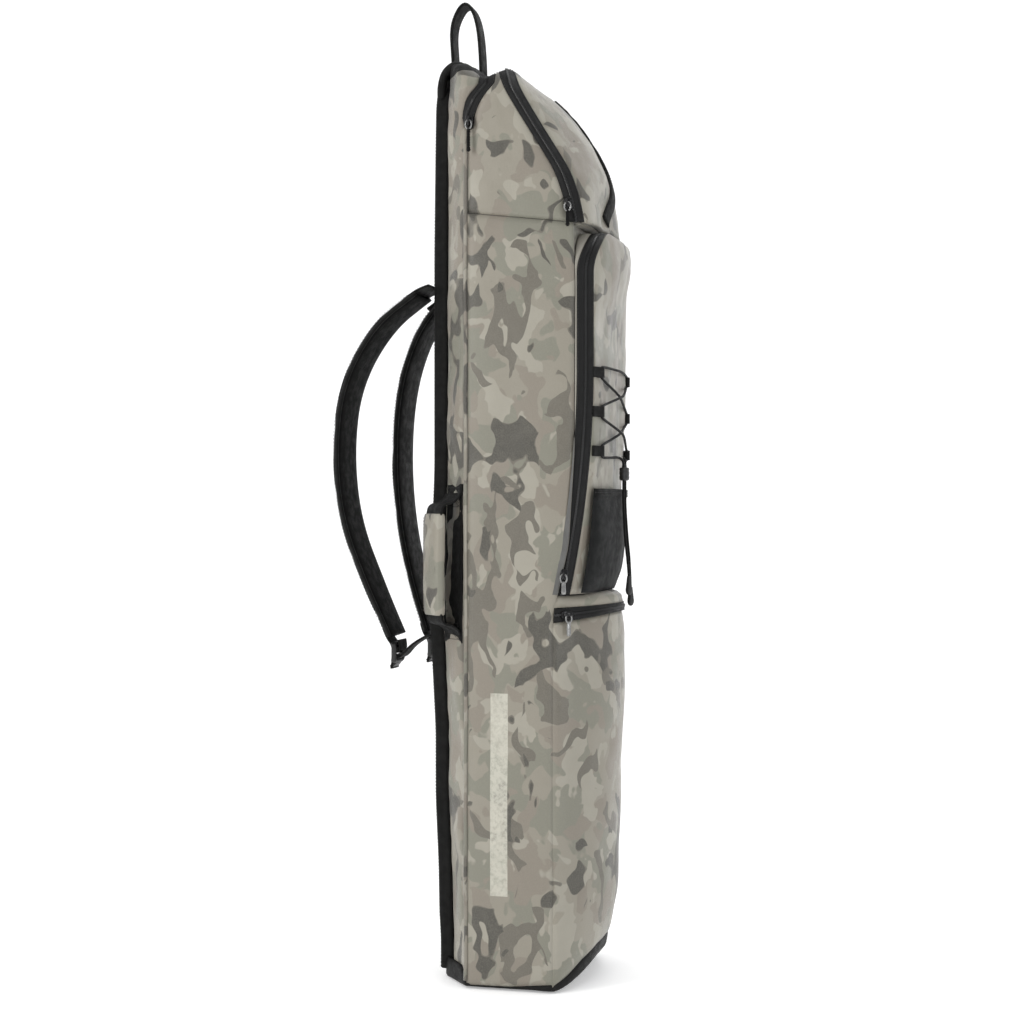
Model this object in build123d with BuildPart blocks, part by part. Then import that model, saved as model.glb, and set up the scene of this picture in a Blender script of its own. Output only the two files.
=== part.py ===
from build123d import *
import os
from math import atan2, cos, pi, radians, sin, sqrt, tan

# A tall padded stick bag worn on the back. Millimetres, +Z up, the pockets face -Y and the
# back panel with its shoulder straps faces +Y. The origin is the middle of the base.

os.makedirs("parts", exist_ok=True)

# ---- Driving dimensions -------------------------------------------------------------------
half_width = 95          # side panel to the middle of the bag
height = 980             # crown of the bag above the ground
arch_radius = 45         # rounded top corners, seen from the front
wall = 5                 # padded wall
skin = 3                 # unpadded pocket cloth with its lining
seam_y = 48              # depth of the seam that the back door turns about
gap = 0.8                # clearance between bodies
tape = 7                 # zip tape on one side of the teeth

base_height = 14         # black tub under the bag
back_half_width = 58     # flat part of the back
door_y = 79              # back of the door's shell
pad_y = 92               # back of the padded edge
mesh_y = 94              # back of the mesh face

zip_radius = 62          # main zip as it curves over the near top corner
zip_start_z = 901        # where the main zip leaves the seam
crown_y = 26             # depth at which the main zip crosses the top
hood_top = 976           # top of the hood
saddle_z = 957           # dip between the hood and the crown of the back

pocket_edge_y = -46      # where the lower pocket meets the side panels
lower_zip_z = 382        # lower edge of the lower pocket's zip
roof_z = 403             # upper edge of the lower pocket's zip
waist_z = 412            # bottom of the upper pocket
pocket_top_z = 793
pocket_arch_radius = 41
side_seam_z = 806        # bottom of the hood compartment at the front

cord_d = 2.8             # shock cord
lace_front_y = -98.4     # depth of the lace's rear strand where two strands cross
strap_width = 60
strap_thick = 12
handle_width = 40


# ---- Sections and outlines ----------------------------------------------------------------
def zip_y(z):
    """Depth of the upper pocket's zip on the side wall: straight, then leaning in."""
    drop = max(0, 650 - z)
    return -80 + drop * drop / 2200


# The front edge of each side panel, from the base to the hood seam, as (y, z).
side_front_edge = [(-46, base_height), (-46, 392), (-50, 412), (-62, 465), (-68, 560), (-69, 737), (-67, 800)]


def edge_y(z):
    """Depth of the side panel's front edge at one height."""
    for (y0, z0), (y1, z1) in zip(side_front_edge, side_front_edge[1:]):
        if z <= z1:
            return y0 + (y1 - y0) * max(0, z - z0) / (z1 - z0)
    return side_front_edge[-1][0]


# Lower pocket: height and depth of its bulging front.
lower_sections = [(base_height, -78), (32, -85), (90, -94), (210, -96), (300, -102), (lower_zip_z, -102)]
# Upper pocket: height and depth of its face at the middle.
upper_sections = [(waist_z + 2, -84), (440, -89), (470, -92.5), (525, -93.5), (600, -95), (700, -98),
                  (760, -103.5), (pocket_top_z, -101)]
# Hood: height, depth of the zip line at the side walls, depth of the front at the middle.
hood_sections = [(800, -71, -94.5), (829, -65, -93), (854, -55, -90), (877, -41, -84), (901, -25, -72),
                 (926, -9, -58.5), (947, 3, -40.5), (966, 9, -12), (990, 17, 12)]


def bow_section(z, half, y_edge, y_front, y_back):
    """A level section with a bowed front, square to the back."""
    with BuildSketch(Plane.XY.offset(z)) as section:
        with BuildLine():
            ThreePointArc((-half, y_edge), (0, y_front), (half, y_edge))
            Polyline((half, y_edge), (half, y_back), (-half, y_back), (-half, y_edge))
        make_face()
    return section.sketch


def pocket_section(z, y_front, inset):
    """A level section of the upper pocket: side walls that taper in to a bowed face."""
    half = half_width - inset
    face = half_width - 6 - inset
    y_side = edge_y(z) - 1.8
    y_back = y_side + 0.6 + 2 * inset
    y_corner = zip_y(z) - tape + inset
    with BuildSketch(Plane.XY.offset(z)) as section:
        with BuildLine():
            ThreePointArc((-face, y_corner), (0, y_front + inset), (face, y_corner))
            Polyline((face, y_corner), (half, y_side + inset), (half, y_back), (-half, y_back),
                     (-half, y_side + inset), (-face, y_corner))
        make_face()
    return section.sketch


def side_outline(points, x_from, x_to, mode=Mode.ADD):
    """Extrude a (y, z) outline from one x to another."""
    with BuildSketch(Plane.YZ.offset(x_from)) as outline:
        with BuildLine():
            Polyline(*points, close=True)
        make_face()
    extrude(outline.sketch, amount=x_to - x_from, mode=mode)


def plan_outline(points, z_from, z_to, mode=Mode.ADD):
    """Extrude an (x, y) outline from one height to another."""
    with BuildSketch(Plane.XY.offset(z_from)) as outline:
        with BuildLine():
            Polyline(*points, close=True)
        make_face()
    extrude(outline.sketch, amount=z_to - z_from, mode=mode)


def arch(half, top, radius, y_from, y_to, bottom, mode=Mode.ADD):
    """Extrude a tall outline with a round-cornered top, seen from the front."""
    with BuildSketch(Plane.XZ.offset(-y_from)) as outline:
        with BuildLine():
            Line((-half, bottom), (-half, top - radius))
            RadiusArc((-half, top - radius), (-half + radius, top), radius)
            Line((-half + radius, top), (half - radius, top))
            RadiusArc((half - radius, top), (half, top - radius), radius)
            Line((half, top - radius), (half, bottom))
            Line((half, bottom), (-half, bottom))
        make_face()
    extrude(outline.sketch, amount=-(y_to - y_from), mode=mode)


def main_zip_side(shift, front, mode=Mode.INTERSECT):
    """Keep what lies in front of, or behind, the surface that the main zip follows."""
    arc_y = seam_y - zip_radius
    y = seam_y + shift
    turn_y = crown_y + shift
    turn = sqrt(zip_radius ** 2 - (turn_y - arc_y - shift) ** 2)
    mid = atan2(turn, crown_y - arc_y) / 2
    middle = (arc_y + shift + zip_radius * cos(mid), zip_start_z + zip_radius * sin(mid))
    limit = -130 if front else 130
    with BuildSketch(Plane.YZ.offset(-half_width - 5)) as outline:
        with BuildLine():
            Line((y, 0), (y, zip_start_z))
            ThreePointArc((y, zip_start_z), middle, (turn_y, zip_start_z + turn))
            Polyline((turn_y, zip_start_z + turn), (turn_y, 1000), (limit, 1000), (limit, 0), (y, 0))
        make_face()
    extrude(outline.sketch, amount=2 * half_width + 10, mode=mode)


def hood_line(shift, mode=Mode.INTERSECT):
    """Keep, or cut off, what lies in front of the hood's zip line."""
    line = [(y + shift, z) for z, y, _ in hood_sections]
    line[0] = (line[0][0], side_seam_z + 2)
    ends = [(-130, 990), (-130, line[0][1])]
    side_outline(line + ends, -half_width - 5, half_width + 5, mode)


def pocket_line(shift, mode=Mode.INTERSECT):
    """Keep, or cut off, what lies in front of the upper pocket's zip line."""
    heights = [waist_z, 430, 455, 490, 540, 600, 650, 800]
    line = [(zip_y(z) + shift, z) for z in heights]
    side_outline(line + [(-130, 800), (-130, waist_z)], -half_width - 5, half_width + 5, mode)


def save(part, name):
    part.label = name
    export_step(part, f"parts/{name}.step")


# ---- Main body ----------------------------------------------------------------------------
# Black tub under the whole bag. Its front edge is turned up, so it stands on the rest.
footprint = [(-half_width, pocket_edge_y), (-half_width, seam_y), (-back_half_width, door_y),
             (back_half_width, door_y), (half_width, seam_y), (half_width, pocket_edge_y)]
with BuildPart() as base_tub:
    with BuildSketch():
        with BuildLine():
            Polyline(*footprint)
            ThreePointArc((half_width, pocket_edge_y), (0, -80), (-half_width, pocket_edge_y))
        make_face()
    extrude(amount=base_height)
    side_outline([(-50, 0), (-84, base_height), (-84, 20), (door_y, 20), (door_y, 0)],
                 -half_width, half_width, Mode.INTERSECT)
    with BuildSketch(Plane.XY.offset(wall)):
        with BuildLine():
            Polyline((-90, -42), (-90, 46), (-56, 74), (56, 74), (90, 46), (90, -42), close=True)
        make_face()
    extrude(amount=base_height, mode=Mode.SUBTRACT)
save(base_tub.part, "base_tub")

# Side panels. Both stop short of the seam: the near one at its hinge strip, the far one at
# the main zip's tape.
for side, x in (("near", -half_width), ("far", half_width - wall)):
    with BuildPart() as side_panel:
        side_outline(side_front_edge + [(seam_y - tape, 813.6), (seam_y - tape, base_height)], x, x + wall)
    save(side_panel.part, f"side_panel_{side}")

# Cloth wall between the main compartment and the two front pockets.
with BuildPart() as divider_wall:
    inner_line = [(y + 2, z) for y, z in side_front_edge]
    outer_line = [(y + 2 + skin, z) for y, z in reversed(side_front_edge)]
    side_outline(inner_line + outer_line, -half_width + wall, half_width - wall)
save(divider_wall.part, "divider_wall")

# Floor and back of the hood compartment.
with BuildPart() as hood_divider:
    back = [(-25, 801), (-12, 880), (0, 915), (13, 948), (15, 957)]
    side_outline([(-60, 801)] + back + [(y + skin, z) for y, z in reversed(back[1:])]
                 + [(-22, 798), (-60, 798)], -half_width + wall, half_width - wall)
    arch(half_width - wall, height - 2 * wall, arch_radius - wall, -80, 60, 700, Mode.INTERSECT)
save(hood_divider.part, "hood_divider")


def hood_block(inset):
    """The hood and crown as one block, shrunk by an inset."""
    with BuildPart() as block:
        loft([bow_section(z, half_width - inset, y_edge + inset, y_front + inset, seam_y + 4 * inset)
              for z, y_edge, y_front in hood_sections], ruled=True)
        arch(half_width - inset, height - inset, arch_radius - inset, -130, 130, 700, Mode.INTERSECT)
        crown_limits(inset)
    return block.part


def crown_limits(inset, bottom=700):
    """Cut the top down to the saddle between the hood and the crown of the back."""
    low = saddle_z - inset
    top = hood_top - inset
    side_outline([(-130, bottom), (-130, top), (2, top), (10, top - 2), (crown_y, low),
                  (34, low), (50, 972 - inset), (62, height - inset), (100, height - inset), (100, bottom)],
                 -half_width, half_width, Mode.INTERSECT)


seam_line = [(-130, side_seam_z - 6), (-71, side_seam_z - 6), (seam_y, 814.5), (seam_y, 1000), (-130, 1000)]
hood_skin = hood_block(0) - hood_block(wall)

with BuildPart() as hood_sides:
    add(hood_skin)
    side_outline(seam_line, -half_width, half_width, Mode.INTERSECT)
    hood_line(tape, Mode.SUBTRACT)
    main_zip_side(-tape, True)
save(hood_sides.part, "hood_sides")

with BuildPart() as hood_zip_frame:
    add(hood_skin)
    side_outline(seam_line, -half_width, half_width, Mode.INTERSECT)
    hood_line(tape)
    hood_line(gap / 2, Mode.SUBTRACT)
save(hood_zip_frame.part, "hood_zip_frame")

with BuildPart() as main_zip_front:
    add(hood_skin)
    side_outline([(-130, 814.5), (-130, 1000), (60, 1000), (60, 814.5)], -half_width, half_width,
                 Mode.INTERSECT)
    main_zip_side(0, True)
    main_zip_side(-tape, True, Mode.SUBTRACT)
    side_outline([(0, 700), (0, zip_start_z), (60, zip_start_z), (60, 700)], -half_width, 0, Mode.SUBTRACT)
    side_outline([(seam_y - tape, base_height), (seam_y - tape, 814.5), (seam_y, 814.5),
                  (seam_y, base_height)], half_width - wall, half_width)
save(main_zip_front.part, "main_zip_front")

# Cloth strip along the near seam, which the back door turns on.
with BuildPart() as seam_hinge:
    add(hood_skin)
    side_outline([(seam_y - tape, 814.5), (seam_y - tape, zip_start_z), (seam_y, zip_start_z),
                  (seam_y, 814.5)], -half_width, 0, Mode.INTERSECT)
    side_outline([(seam_y - tape, base_height), (seam_y - tape, 814.5), (seam_y, 814.5),
                  (seam_y, base_height)], -half_width, -half_width + wall)
save(seam_hinge.part, "seam_hinge")


def lower_block(inset):
    """The lower pocket as one block, shrunk by an inset."""
    with BuildPart() as block:
        loft([bow_section(z, half_width - inset, pocket_edge_y - 0.6 + inset, y + inset,
                          pocket_edge_y - 0.1 + 2 * inset) for z, y in lower_sections], ruled=True)
    return block.part


# Lower pocket: a bowed front over the bottom of the bag, with its zip across the top.
lower_skin = lower_block(0) - lower_block(skin)
with BuildPart() as lower_pocket:
    add(lower_skin)
    side_outline([(-130, base_height), (-130, lower_zip_z), (-30, lower_zip_z), (-30, base_height)],
                 -half_width, half_width, Mode.INTERSECT)
save(lower_pocket.part, "lower_pocket")

with BuildPart() as lower_zip_tape:
    front_y = lower_sections[-1][1]
    for inset, mode in ((0, Mode.ADD), (skin, Mode.SUBTRACT)):
        section = bow_section(lower_zip_z, half_width - inset, pocket_edge_y - 3 + inset, front_y + inset,
                              pocket_edge_y - 2.6 + 2 * inset)
        extrude(section, amount=roof_z - lower_zip_z, mode=mode)
save(lower_zip_tape.part, "lower_zip_tape")

# Sloping cloth roof of the lower pocket, up to the waist between the two pockets.
with BuildPart() as pocket_roof:
    loft([bow_section(roof_z, half_width, -49, front_y, -48.6),
          bow_section(waist_z, half_width, -51, -85, -50.6)], ruled=True)
save(pocket_roof.part, "pocket_roof")


def upper_block(inset):
    """The upper pocket as one block, shrunk by an inset."""
    with BuildPart() as block:
        loft([pocket_section(z, y, inset) for z, y in upper_sections], ruled=True)
        arch(half_width - inset, pocket_top_z - inset, pocket_arch_radius - inset, -130, 0, 300,
             Mode.INTERSECT)
    return block.part


# Upper pocket: a pale gusset sewn to the body, and the frame half of its zip.
upper_skin = upper_block(0) - upper_block(skin)
with BuildPart() as pocket_gusset:
    add(upper_skin)
    pocket_line(tape, Mode.SUBTRACT)
save(pocket_gusset.part, "pocket_gusset")

with BuildPart() as pocket_zip_frame:
    add(upper_skin)
    pocket_line(tape)
    pocket_line(gap / 2, Mode.SUBTRACT)
save(pocket_zip_frame.part, "pocket_zip_frame")

# ---- Hood flap: turns down about its lower front edge --------------------------------------
flap_low = side_seam_z + 2 + gap
above_hinge = [(-130, flap_low), (-130, 1000), (60, 1000), (60, flap_low)]
with BuildPart() as hood_flap_panel:
    add(hood_skin)
    hood_line(-gap / 2 - tape)
    side_outline(above_hinge, -half_width, half_width, Mode.INTERSECT)
save(hood_flap_panel.part, "hood_flap_panel")

with BuildPart() as hood_flap_zip:
    add(hood_skin)
    hood_line(-gap / 2)
    hood_line(-gap / 2 - tape, Mode.SUBTRACT)
    side_outline(above_hinge, -half_width, half_width, Mode.INTERSECT)
save(hood_flap_zip.part, "hood_flap_zip")

# Taped seam down the front of the hood flap.
tape_line = [(28, 950), (37, 915), (38, 880), (30, 856), (14, 834), (-3, 815)]
with BuildPart() as hood_front_tape:
    add(hood_block(-1.2) - hood_block(0))
    with BuildSketch(Plane.XZ) as tape_band:
        with BuildLine():
            Spline(*tape_line)
        trace(line_width=14)
    extrude(tape_band.sketch, amount=130, mode=Mode.INTERSECT)
save(hood_front_tape.part, "hood_front_tape")

# ---- Pocket flap: turns down about its lower front edge ------------------------------------
with BuildPart() as pocket_flap_panel:
    add(upper_skin)
    pocket_line(-gap / 2 - tape)
save(pocket_flap_panel.part, "pocket_flap_panel")

with BuildPart() as pocket_flap_zip:
    add(upper_skin)
    pocket_line(-gap / 2)
    pocket_line(-gap / 2 - tape, Mode.SUBTRACT)
save(pocket_flap_zip.part, "pocket_flap_zip")


def face_y(x, z):
    """Depth of the upper pocket's face."""
    for (z0, y0), (z1, y1) in zip(upper_sections, upper_sections[1:]):
        if z <= z1:
            middle = y0 + (y1 - y0) * (z - z0) / (z1 - z0)
            break
    half = half_width - 6
    sag = zip_y(z) - tape - middle
    radius = (half ** 2 + sag ** 2) / (2 * sag)
    return middle + radius - sqrt(radius ** 2 - x ** 2)


# Open-topped stretch pocket on the lower part of the flap.
stretch_low = 424
stretch_top = 525
with BuildPart() as stretch_pocket:
    levels = (stretch_low, 440, 470, stretch_top)
    open_levels = (stretch_low + 2, 440, 470, stretch_top)
    for reach, mode in ((8, Mode.ADD), (6.4, Mode.SUBTRACT)):
        half = 70 if mode == Mode.ADD else 68.4
        heights = levels if mode == Mode.ADD else open_levels
        loft([bow_section(z, half, face_y(70, z) - reach / 3, face_y(0, z) - reach, face_y(70, z) + 5)
              for z in heights], ruled=True, mode=mode)
    loft([bow_section(z, 72, face_y(72, z) - 0.2, face_y(0, z) - 0.2, face_y(72, z) + 6) for z in levels],
         ruled=True, mode=Mode.SUBTRACT)
save(stretch_pocket.part, "stretch_pocket")

# Shock cord laced through three webbing loops on each side, then down to the cord lock.
loop_x = 73.8            # where the cord turns round inside a loop
loop_y = -93.2
loop_heights = (563, 604, 645)
lock_z = 549             # where the two ends enter the cord lock
tail_x = 5.2
tail_y = -103.8


def cord_turn(side, z, up):
    """The four route points of a turn inside one webbing loop."""
    rise = 1 if up else -1
    return [(side * 68, loop_y, z - rise * 6.8), (side * loop_x, loop_y, z - rise * 4.4),
            (side * loop_x, loop_y, z + rise * 4.4), (side * 68, loop_y, z + rise * 6.8)]


def crossing(side, z, slope, lift):
    """Two route points over the middle of the flap, one each side of a crossing."""
    return [(side * 10, lace_front_y - lift, z - slope * 10), (-side * 10, lace_front_y - lift, z + slope * 10)]


low, middle, high = loop_heights
half_lace = [(-tail_x, tail_y, lock_z), (-tail_x - 0.6, tail_y, lock_z + 5.5), (-14, -100.4, lock_z + 9.4),
             (-40, -96.8, lock_z + 8)]
near_low = cord_turn(-1, low, True)
far_middle = cord_turn(1, middle, True)
near_high = cord_turn(-1, high, True)
rear = half_lace + near_low + crossing(-1, (low + middle) / 2, 0.2, 0) + far_middle
rear += crossing(1, (middle + high) / 2, 0.2, 0) + near_high
over = [(-10, lace_front_y - 1, high + 6.4), (10, lace_front_y - 1, high + 6.4)]
front = [(-x, y, z) for x, y, z in reversed(half_lace + near_low)]
front_up = crossing(1, (low + middle) / 2, 0.2, 3.6)
front_top = crossing(-1, (middle + high) / 2, 0.2, 3.6)
front = (cord_turn(1, high, False) + list(reversed(front_top)) + cord_turn(-1, middle, False)
         + list(reversed(front_up)) + front)
lace_route = rear + over + front


def cord_radii(route):
    """Arc radii for a route: as large as the runs beside each point allow."""
    radii = []
    for before, here, after in zip(route, route[1:], route[2:]):
        come = Vector(*here) - Vector(*before)
        go = Vector(*after) - Vector(*here)
        turn = radians(come.get_angle(go))
        radii.append(0.45 * min(come.length, go.length) / tan(turn / 2))
    return radii


def cord_tube(route, name):
    """A round cord along straight runs joined by tangent arcs."""
    radii = cord_radii(route)
    with BuildPart() as tube:
        with BuildLine() as path:
            FilletPolyline(*route, radius=radii)
        with BuildSketch(Plane(path.line @ 0, z_dir=path.line % 0)):
            Circle(cord_d / 2)
        sweep(transition=Transition.ROUND)
    length = sum(edge.length for edge in path.line.edges())
    ideal = pi * (cord_d / 2) ** 2 * length
    print(name, "length", round(length), "tightest", round(min(radii), 1),
          "volume ratio", round(tube.part.volume / ideal, 3))
    save(tube.part, name)


cord_tube(lace_route, "bungee_lace")

with BuildPart() as lace_loops:
    for side in (-1, 1):
        for z in loop_heights:
            with BuildSketch(Plane.XY.offset(z - 2.6)) as fold:
                with BuildLine():
                    Polyline((side * 74, -90.4), (side * 85, -87.6), (side * 85, -89.4), (side * 76, -92.4),
                             close=True)
                make_face()
                with Locations((side * loop_x, loop_y)):
                    Circle(2.9)
                    Circle(1.7, mode=Mode.SUBTRACT)
            extrude(fold.sketch, amount=5.2)
save(lace_loops.part, "lace_loops")

# ---- Cord tails: hang from the lace's ends, with a moulded end on each ---------------------
tail_low = 424
end_y = tail_y - 6
for side, name in ((-1, "near"), (1, "far")):
    x = side * tail_x
    bottom = tail_low - 6 * side
    tail = [(x, tail_y, lock_z - 1.6), (x, tail_y, 508), (x + side * 1.5, tail_y - 2.6, 466), (x, end_y, bottom)]
    cord_tube(tail, f"tail_{name}")
    with BuildPart() as cord_end:
        with BuildSketch(Plane.XZ.offset(-end_y)):
            with BuildLine():
                Polyline((0, bottom), (1.8, bottom), (3.2, bottom - 10), (3.6, bottom - 15),
                         (2.8, bottom - 18.6), (1.2, bottom - 20), (0, bottom - 20), close=True)
            make_face()
        revolve(axis=Axis((0, end_y, 0), (0, 0, 1)))
    save(cord_end.part.moved(Location((x, 0, 0))), f"cord_end_{name}")

# ---- Cord lock: slides down the tails; its button is sprung --------------------------------
lock_top = 547.5
lock_height = 14
with BuildPart() as lock_barrel:
    with BuildSketch(Plane.XY.offset(lock_top - lock_height)) as barrel_plan:
        with Locations((0, tail_y)):
            RectangleRounded(17, 10.4, 4)
        with Locations((-tail_x, tail_y), (tail_x, tail_y)):
            Circle(cord_d / 2 + 0.6, mode=Mode.SUBTRACT)
    extrude(barrel_plan.sketch, amount=lock_height)
    with BuildSketch(Plane.XY.offset(lock_top - 11)) as well:
        with Locations((0, tail_y)):
            Circle(2.9)
    extrude(well.sketch, amount=12, mode=Mode.SUBTRACT)
save(lock_barrel.part, "cord_lock")

spring_low = lock_top - 11
spring_high = lock_top - 6
with BuildPart() as lock_spring:
    with BuildSketch(Plane.XY.offset(spring_low)) as ring:
        with Locations((0, tail_y)):
            Circle(2.4)
            Circle(1.6, mode=Mode.SUBTRACT)
    extrude(ring.sketch, amount=spring_high - spring_low)
save(lock_spring.part, "lock_spring")

with BuildPart() as lock_button:
    with BuildSketch(Plane.XY.offset(spring_high)) as stem:
        with Locations((0, tail_y)):
            Circle(2.7)
    extrude(stem.sketch, amount=lock_top + 3.6 - spring_high)
    fillet(lock_button.edges().group_by(Axis.Z)[-1], 0.8)
save(lock_button.part, "lock_button")

# ---- Back door: corner strips, crown, padded back ------------------------------------------
door_low = base_height + gap
outer_plan = [(-half_width, 10), (-half_width, seam_y), (-back_half_width, door_y),
              (back_half_width, door_y), (half_width, seam_y), (half_width, 10)]
inner_plan = [(-90, 0), (-90, 45.7), (-56.2, 74), (56.2, 74), (90, 45.7), (90, 0)]


def door_block(plan, inset):
    """The back door as one block, shrunk by an inset."""
    with BuildPart() as block:
        plan_outline(plan, door_low - inset, 1000)
        arch(half_width - inset, height - inset, arch_radius - inset, -30, 130, 0, Mode.INTERSECT)
        crown_limits(inset, 0)
    return block.part


door_skin = door_block(outer_plan, 0) - door_block(inner_plan, wall)
crown_z = 899
with BuildPart() as door_whole:
    add(door_skin)
    main_zip_side(gap, False)
    main_zip_side(gap + tape, True, Mode.SUBTRACT)
with BuildPart() as main_zip_back:
    add(door_skin)
    main_zip_side(gap, False)
    main_zip_side(gap + tape, False, Mode.SUBTRACT)
    plan_outline([(-100, 0), (-100, 90), (0, 90), (0, 0)], 0, zip_start_z, Mode.SUBTRACT)
save(main_zip_back.part, "main_zip_back")

with BuildPart() as corner_strip_near:
    add(door_skin)
    main_zip_side(gap, False)
    plan_outline([(-100, 40), (-100, 90), (-back_half_width, 90), (-back_half_width, 40)], 0, crown_z,
                 Mode.INTERSECT)
save(corner_strip_near.part, "corner_strip_near")

with BuildPart() as corner_strip_far:
    add(door_whole.part)
    plan_outline([(100, 40), (100, 90), (back_half_width, 90), (back_half_width, 40)], 0, crown_z,
                 Mode.INTERSECT)
save(corner_strip_far.part, "corner_strip_far")

with BuildPart() as back_lining:
    add(door_whole.part)
    plan_outline([(-back_half_width, 60), (-back_half_width, 90), (back_half_width, 90),
                  (back_half_width, 60)], 0, crown_z, Mode.INTERSECT)
save(back_lining.part, "back_lining")

with BuildPart() as back_crown:
    add(door_whole.part)
    plan_outline([(-100, 0), (-100, 90), (100, 90), (100, 0)], crown_z, 1000, Mode.INTERSECT)
save(back_crown.part, "back_crown")

bind = 6                 # width of the black binding round the back pad
pad_top = 972
with BuildPart() as back_pad:
    arch(back_half_width - bind, pad_top - bind, arch_radius - bind, door_y, pad_y, 24)
save(back_pad.part, "back_pad")

with BuildPart() as back_mesh:
    arch(back_half_width - bind, pad_top - bind, arch_radius - bind, pad_y, mesh_y, 24)
save(back_mesh.part, "back_mesh")

with BuildPart() as back_binding:
    arch(back_half_width, pad_top, arch_radius, door_y, pad_y + 0.5, 18)
    arch(back_half_width - bind, pad_top - bind, arch_radius - bind, door_y - 1, pad_y + 2, 24, Mode.SUBTRACT)
save(back_binding.part, "back_binding")

# Reinforcement over the crown, which carries the haul loop.
with BuildPart() as top_cap:
    side_outline([(mesh_y + 0.2, 930), (96.5, 930), (96.5, 974), (86, 982.6), (60, 982.6), (49, 974),
                  (50, 972.3), (62, 980.2), (door_y + 0.2, 980.2), (door_y + 0.2, 972.3),
                  (mesh_y + 0.2, 972.3)], -40, 40)
save(top_cap.part, "top_cap")

loop_roots = ((54, 979.4), (85, 982.8))
with BuildPart() as loop_tabs:
    for y, z in loop_roots:
        side_outline([(y - 1.5, z), (y + 1.5, z), (y + 1.5, 984.5), (y - 1.5, 984.5)], -13, 13)
save(loop_tabs.part, "loop_tabs")


def webbing(points, radius, thick, plane, width):
    """A flat strap: a band along a rounded path, extruded both ways across the plane."""
    with BuildSketch(plane) as band:
        with BuildLine():
            FilletPolyline(*points, radius=radius)
        trace(line_width=thick)
    extrude(band.sketch, amount=width / 2, both=True)


# ---- Haul loop ------------------------------------------------------------------------------
with BuildPart() as haul_loop:
    webbing([(54, 988.5), (57, 1030), (72, 1062), (88, 1040), (85, 988.5)], 12, 2.6, Plane.YZ, 25)
save(haul_loop.part, "haul_loop")

# ---- Side handle ----------------------------------------------------------------------------
strip_middle = ((-half_width - back_half_width) / 2, (seam_y + door_y) / 2)
strip_length = sqrt((half_width - back_half_width) ** 2 + (door_y - seam_y) ** 2)
along = ((half_width - back_half_width) / strip_length, (door_y - seam_y) / strip_length, 0)
outward = (-along[1], along[0], 0)
handle_plane = Plane(origin=(*strip_middle, 0), x_dir=outward, z_dir=along)
with BuildPart() as handle_patches:
    for z_from, z_to in ((502, 528), (362, 384)):
        with BuildSketch(handle_plane) as patch:
            with BuildLine():
                Polyline((0, z_from), (0, z_to), (2, z_to), (2, z_from), close=True)
            make_face()
        extrude(patch.sketch, amount=handle_width / 2 + 1, both=True)
save(handle_patches.part, "handle_patches")

sleeve_low, sleeve_high = 392, 497
with BuildPart() as handle_sleeve:
    with BuildSketch(handle_plane) as sleeve:
        with Locations((29, (sleeve_low + sleeve_high) / 2)):
            RectangleRounded(10, sleeve_high - sleeve_low, 4)
    extrude(sleeve.sketch, amount=handle_width / 2, both=True)
save(handle_sleeve.part, "handle_sleeve")

with BuildPart() as handle_webbing:
    webbing([(11.5, 508), (29, 507), (29, sleeve_high)], 5, 2.4, handle_plane, handle_width - 2)
    webbing([(11.5, 381), (29, 382), (29, sleeve_low)], 5, 2.4, handle_plane, handle_width - 2)
save(handle_webbing.part, "handle_webbing")

# ---- Shoulder straps ------------------------------------------------------------------------
strap_x = 45
with BuildPart() as anchor_top:
    side_outline([(mesh_y, 716), (mesh_y, 760), (mesh_y + 2, 760), (mesh_y + 2, 716)], -50, 50)
save(anchor_top.part, "strap_anchor_top")
with BuildPart() as anchor_low:
    for x in (-50, 12):
        side_outline([(mesh_y, 346), (mesh_y, 388), (mesh_y + 2, 388), (mesh_y + 2, 346)], x, x + 38)
save(anchor_low.part, "strap_anchor_low")

strap_paths = {
    "near": (-strap_x, [(110, 734), (155, 702), (192, 640), (201, 566), (193, 490), (165, 420), (140, 366)]),
    "far": (strap_x, [(110, 734), (137, 698), (156, 640), (162, 566), (157, 490), (142, 420), (126, 366)]),
}
for name, (x, path) in strap_paths.items():
    plane = Plane.YZ.offset(x)
    with BuildPart() as pad:
        webbing(path, 45, strap_thick, plane, strap_width)
    save(pad.part, f"strap_{name}")
    buckle_y, buckle_z = path[-1]
    with BuildPart() as buckle:
        side_outline([(buckle_y - 6, buckle_z - 31), (buckle_y, buckle_z - 31), (buckle_y, buckle_z - 8),
                      (buckle_y - 6, buckle_z - 8)], x - 16, x + 16)
        for z in (buckle_z - 27, buckle_z - 16):
            side_outline([(buckle_y - 9, z), (buckle_y + 9, z), (buckle_y + 9, z + 4), (buckle_y - 9, z + 4)],
                         x - 12.6, x + 12.6, Mode.SUBTRACT)
    save(buckle.part, f"buckle_{name}")
    with BuildPart() as lower_web:
        side_outline([(buckle_y - 7, buckle_z - 20), (104, 368), (104, 366), (buckle_y - 7, buckle_z - 22)],
                     x - 12.5, x + 12.5)
    save(lower_web.part, f"web_{name}")

# ---- Zip sliders and their pulls -------------------------------------------------------------
pin_height = 5.4         # pull's pin above the cloth
pin_radius = 0.7


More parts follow.
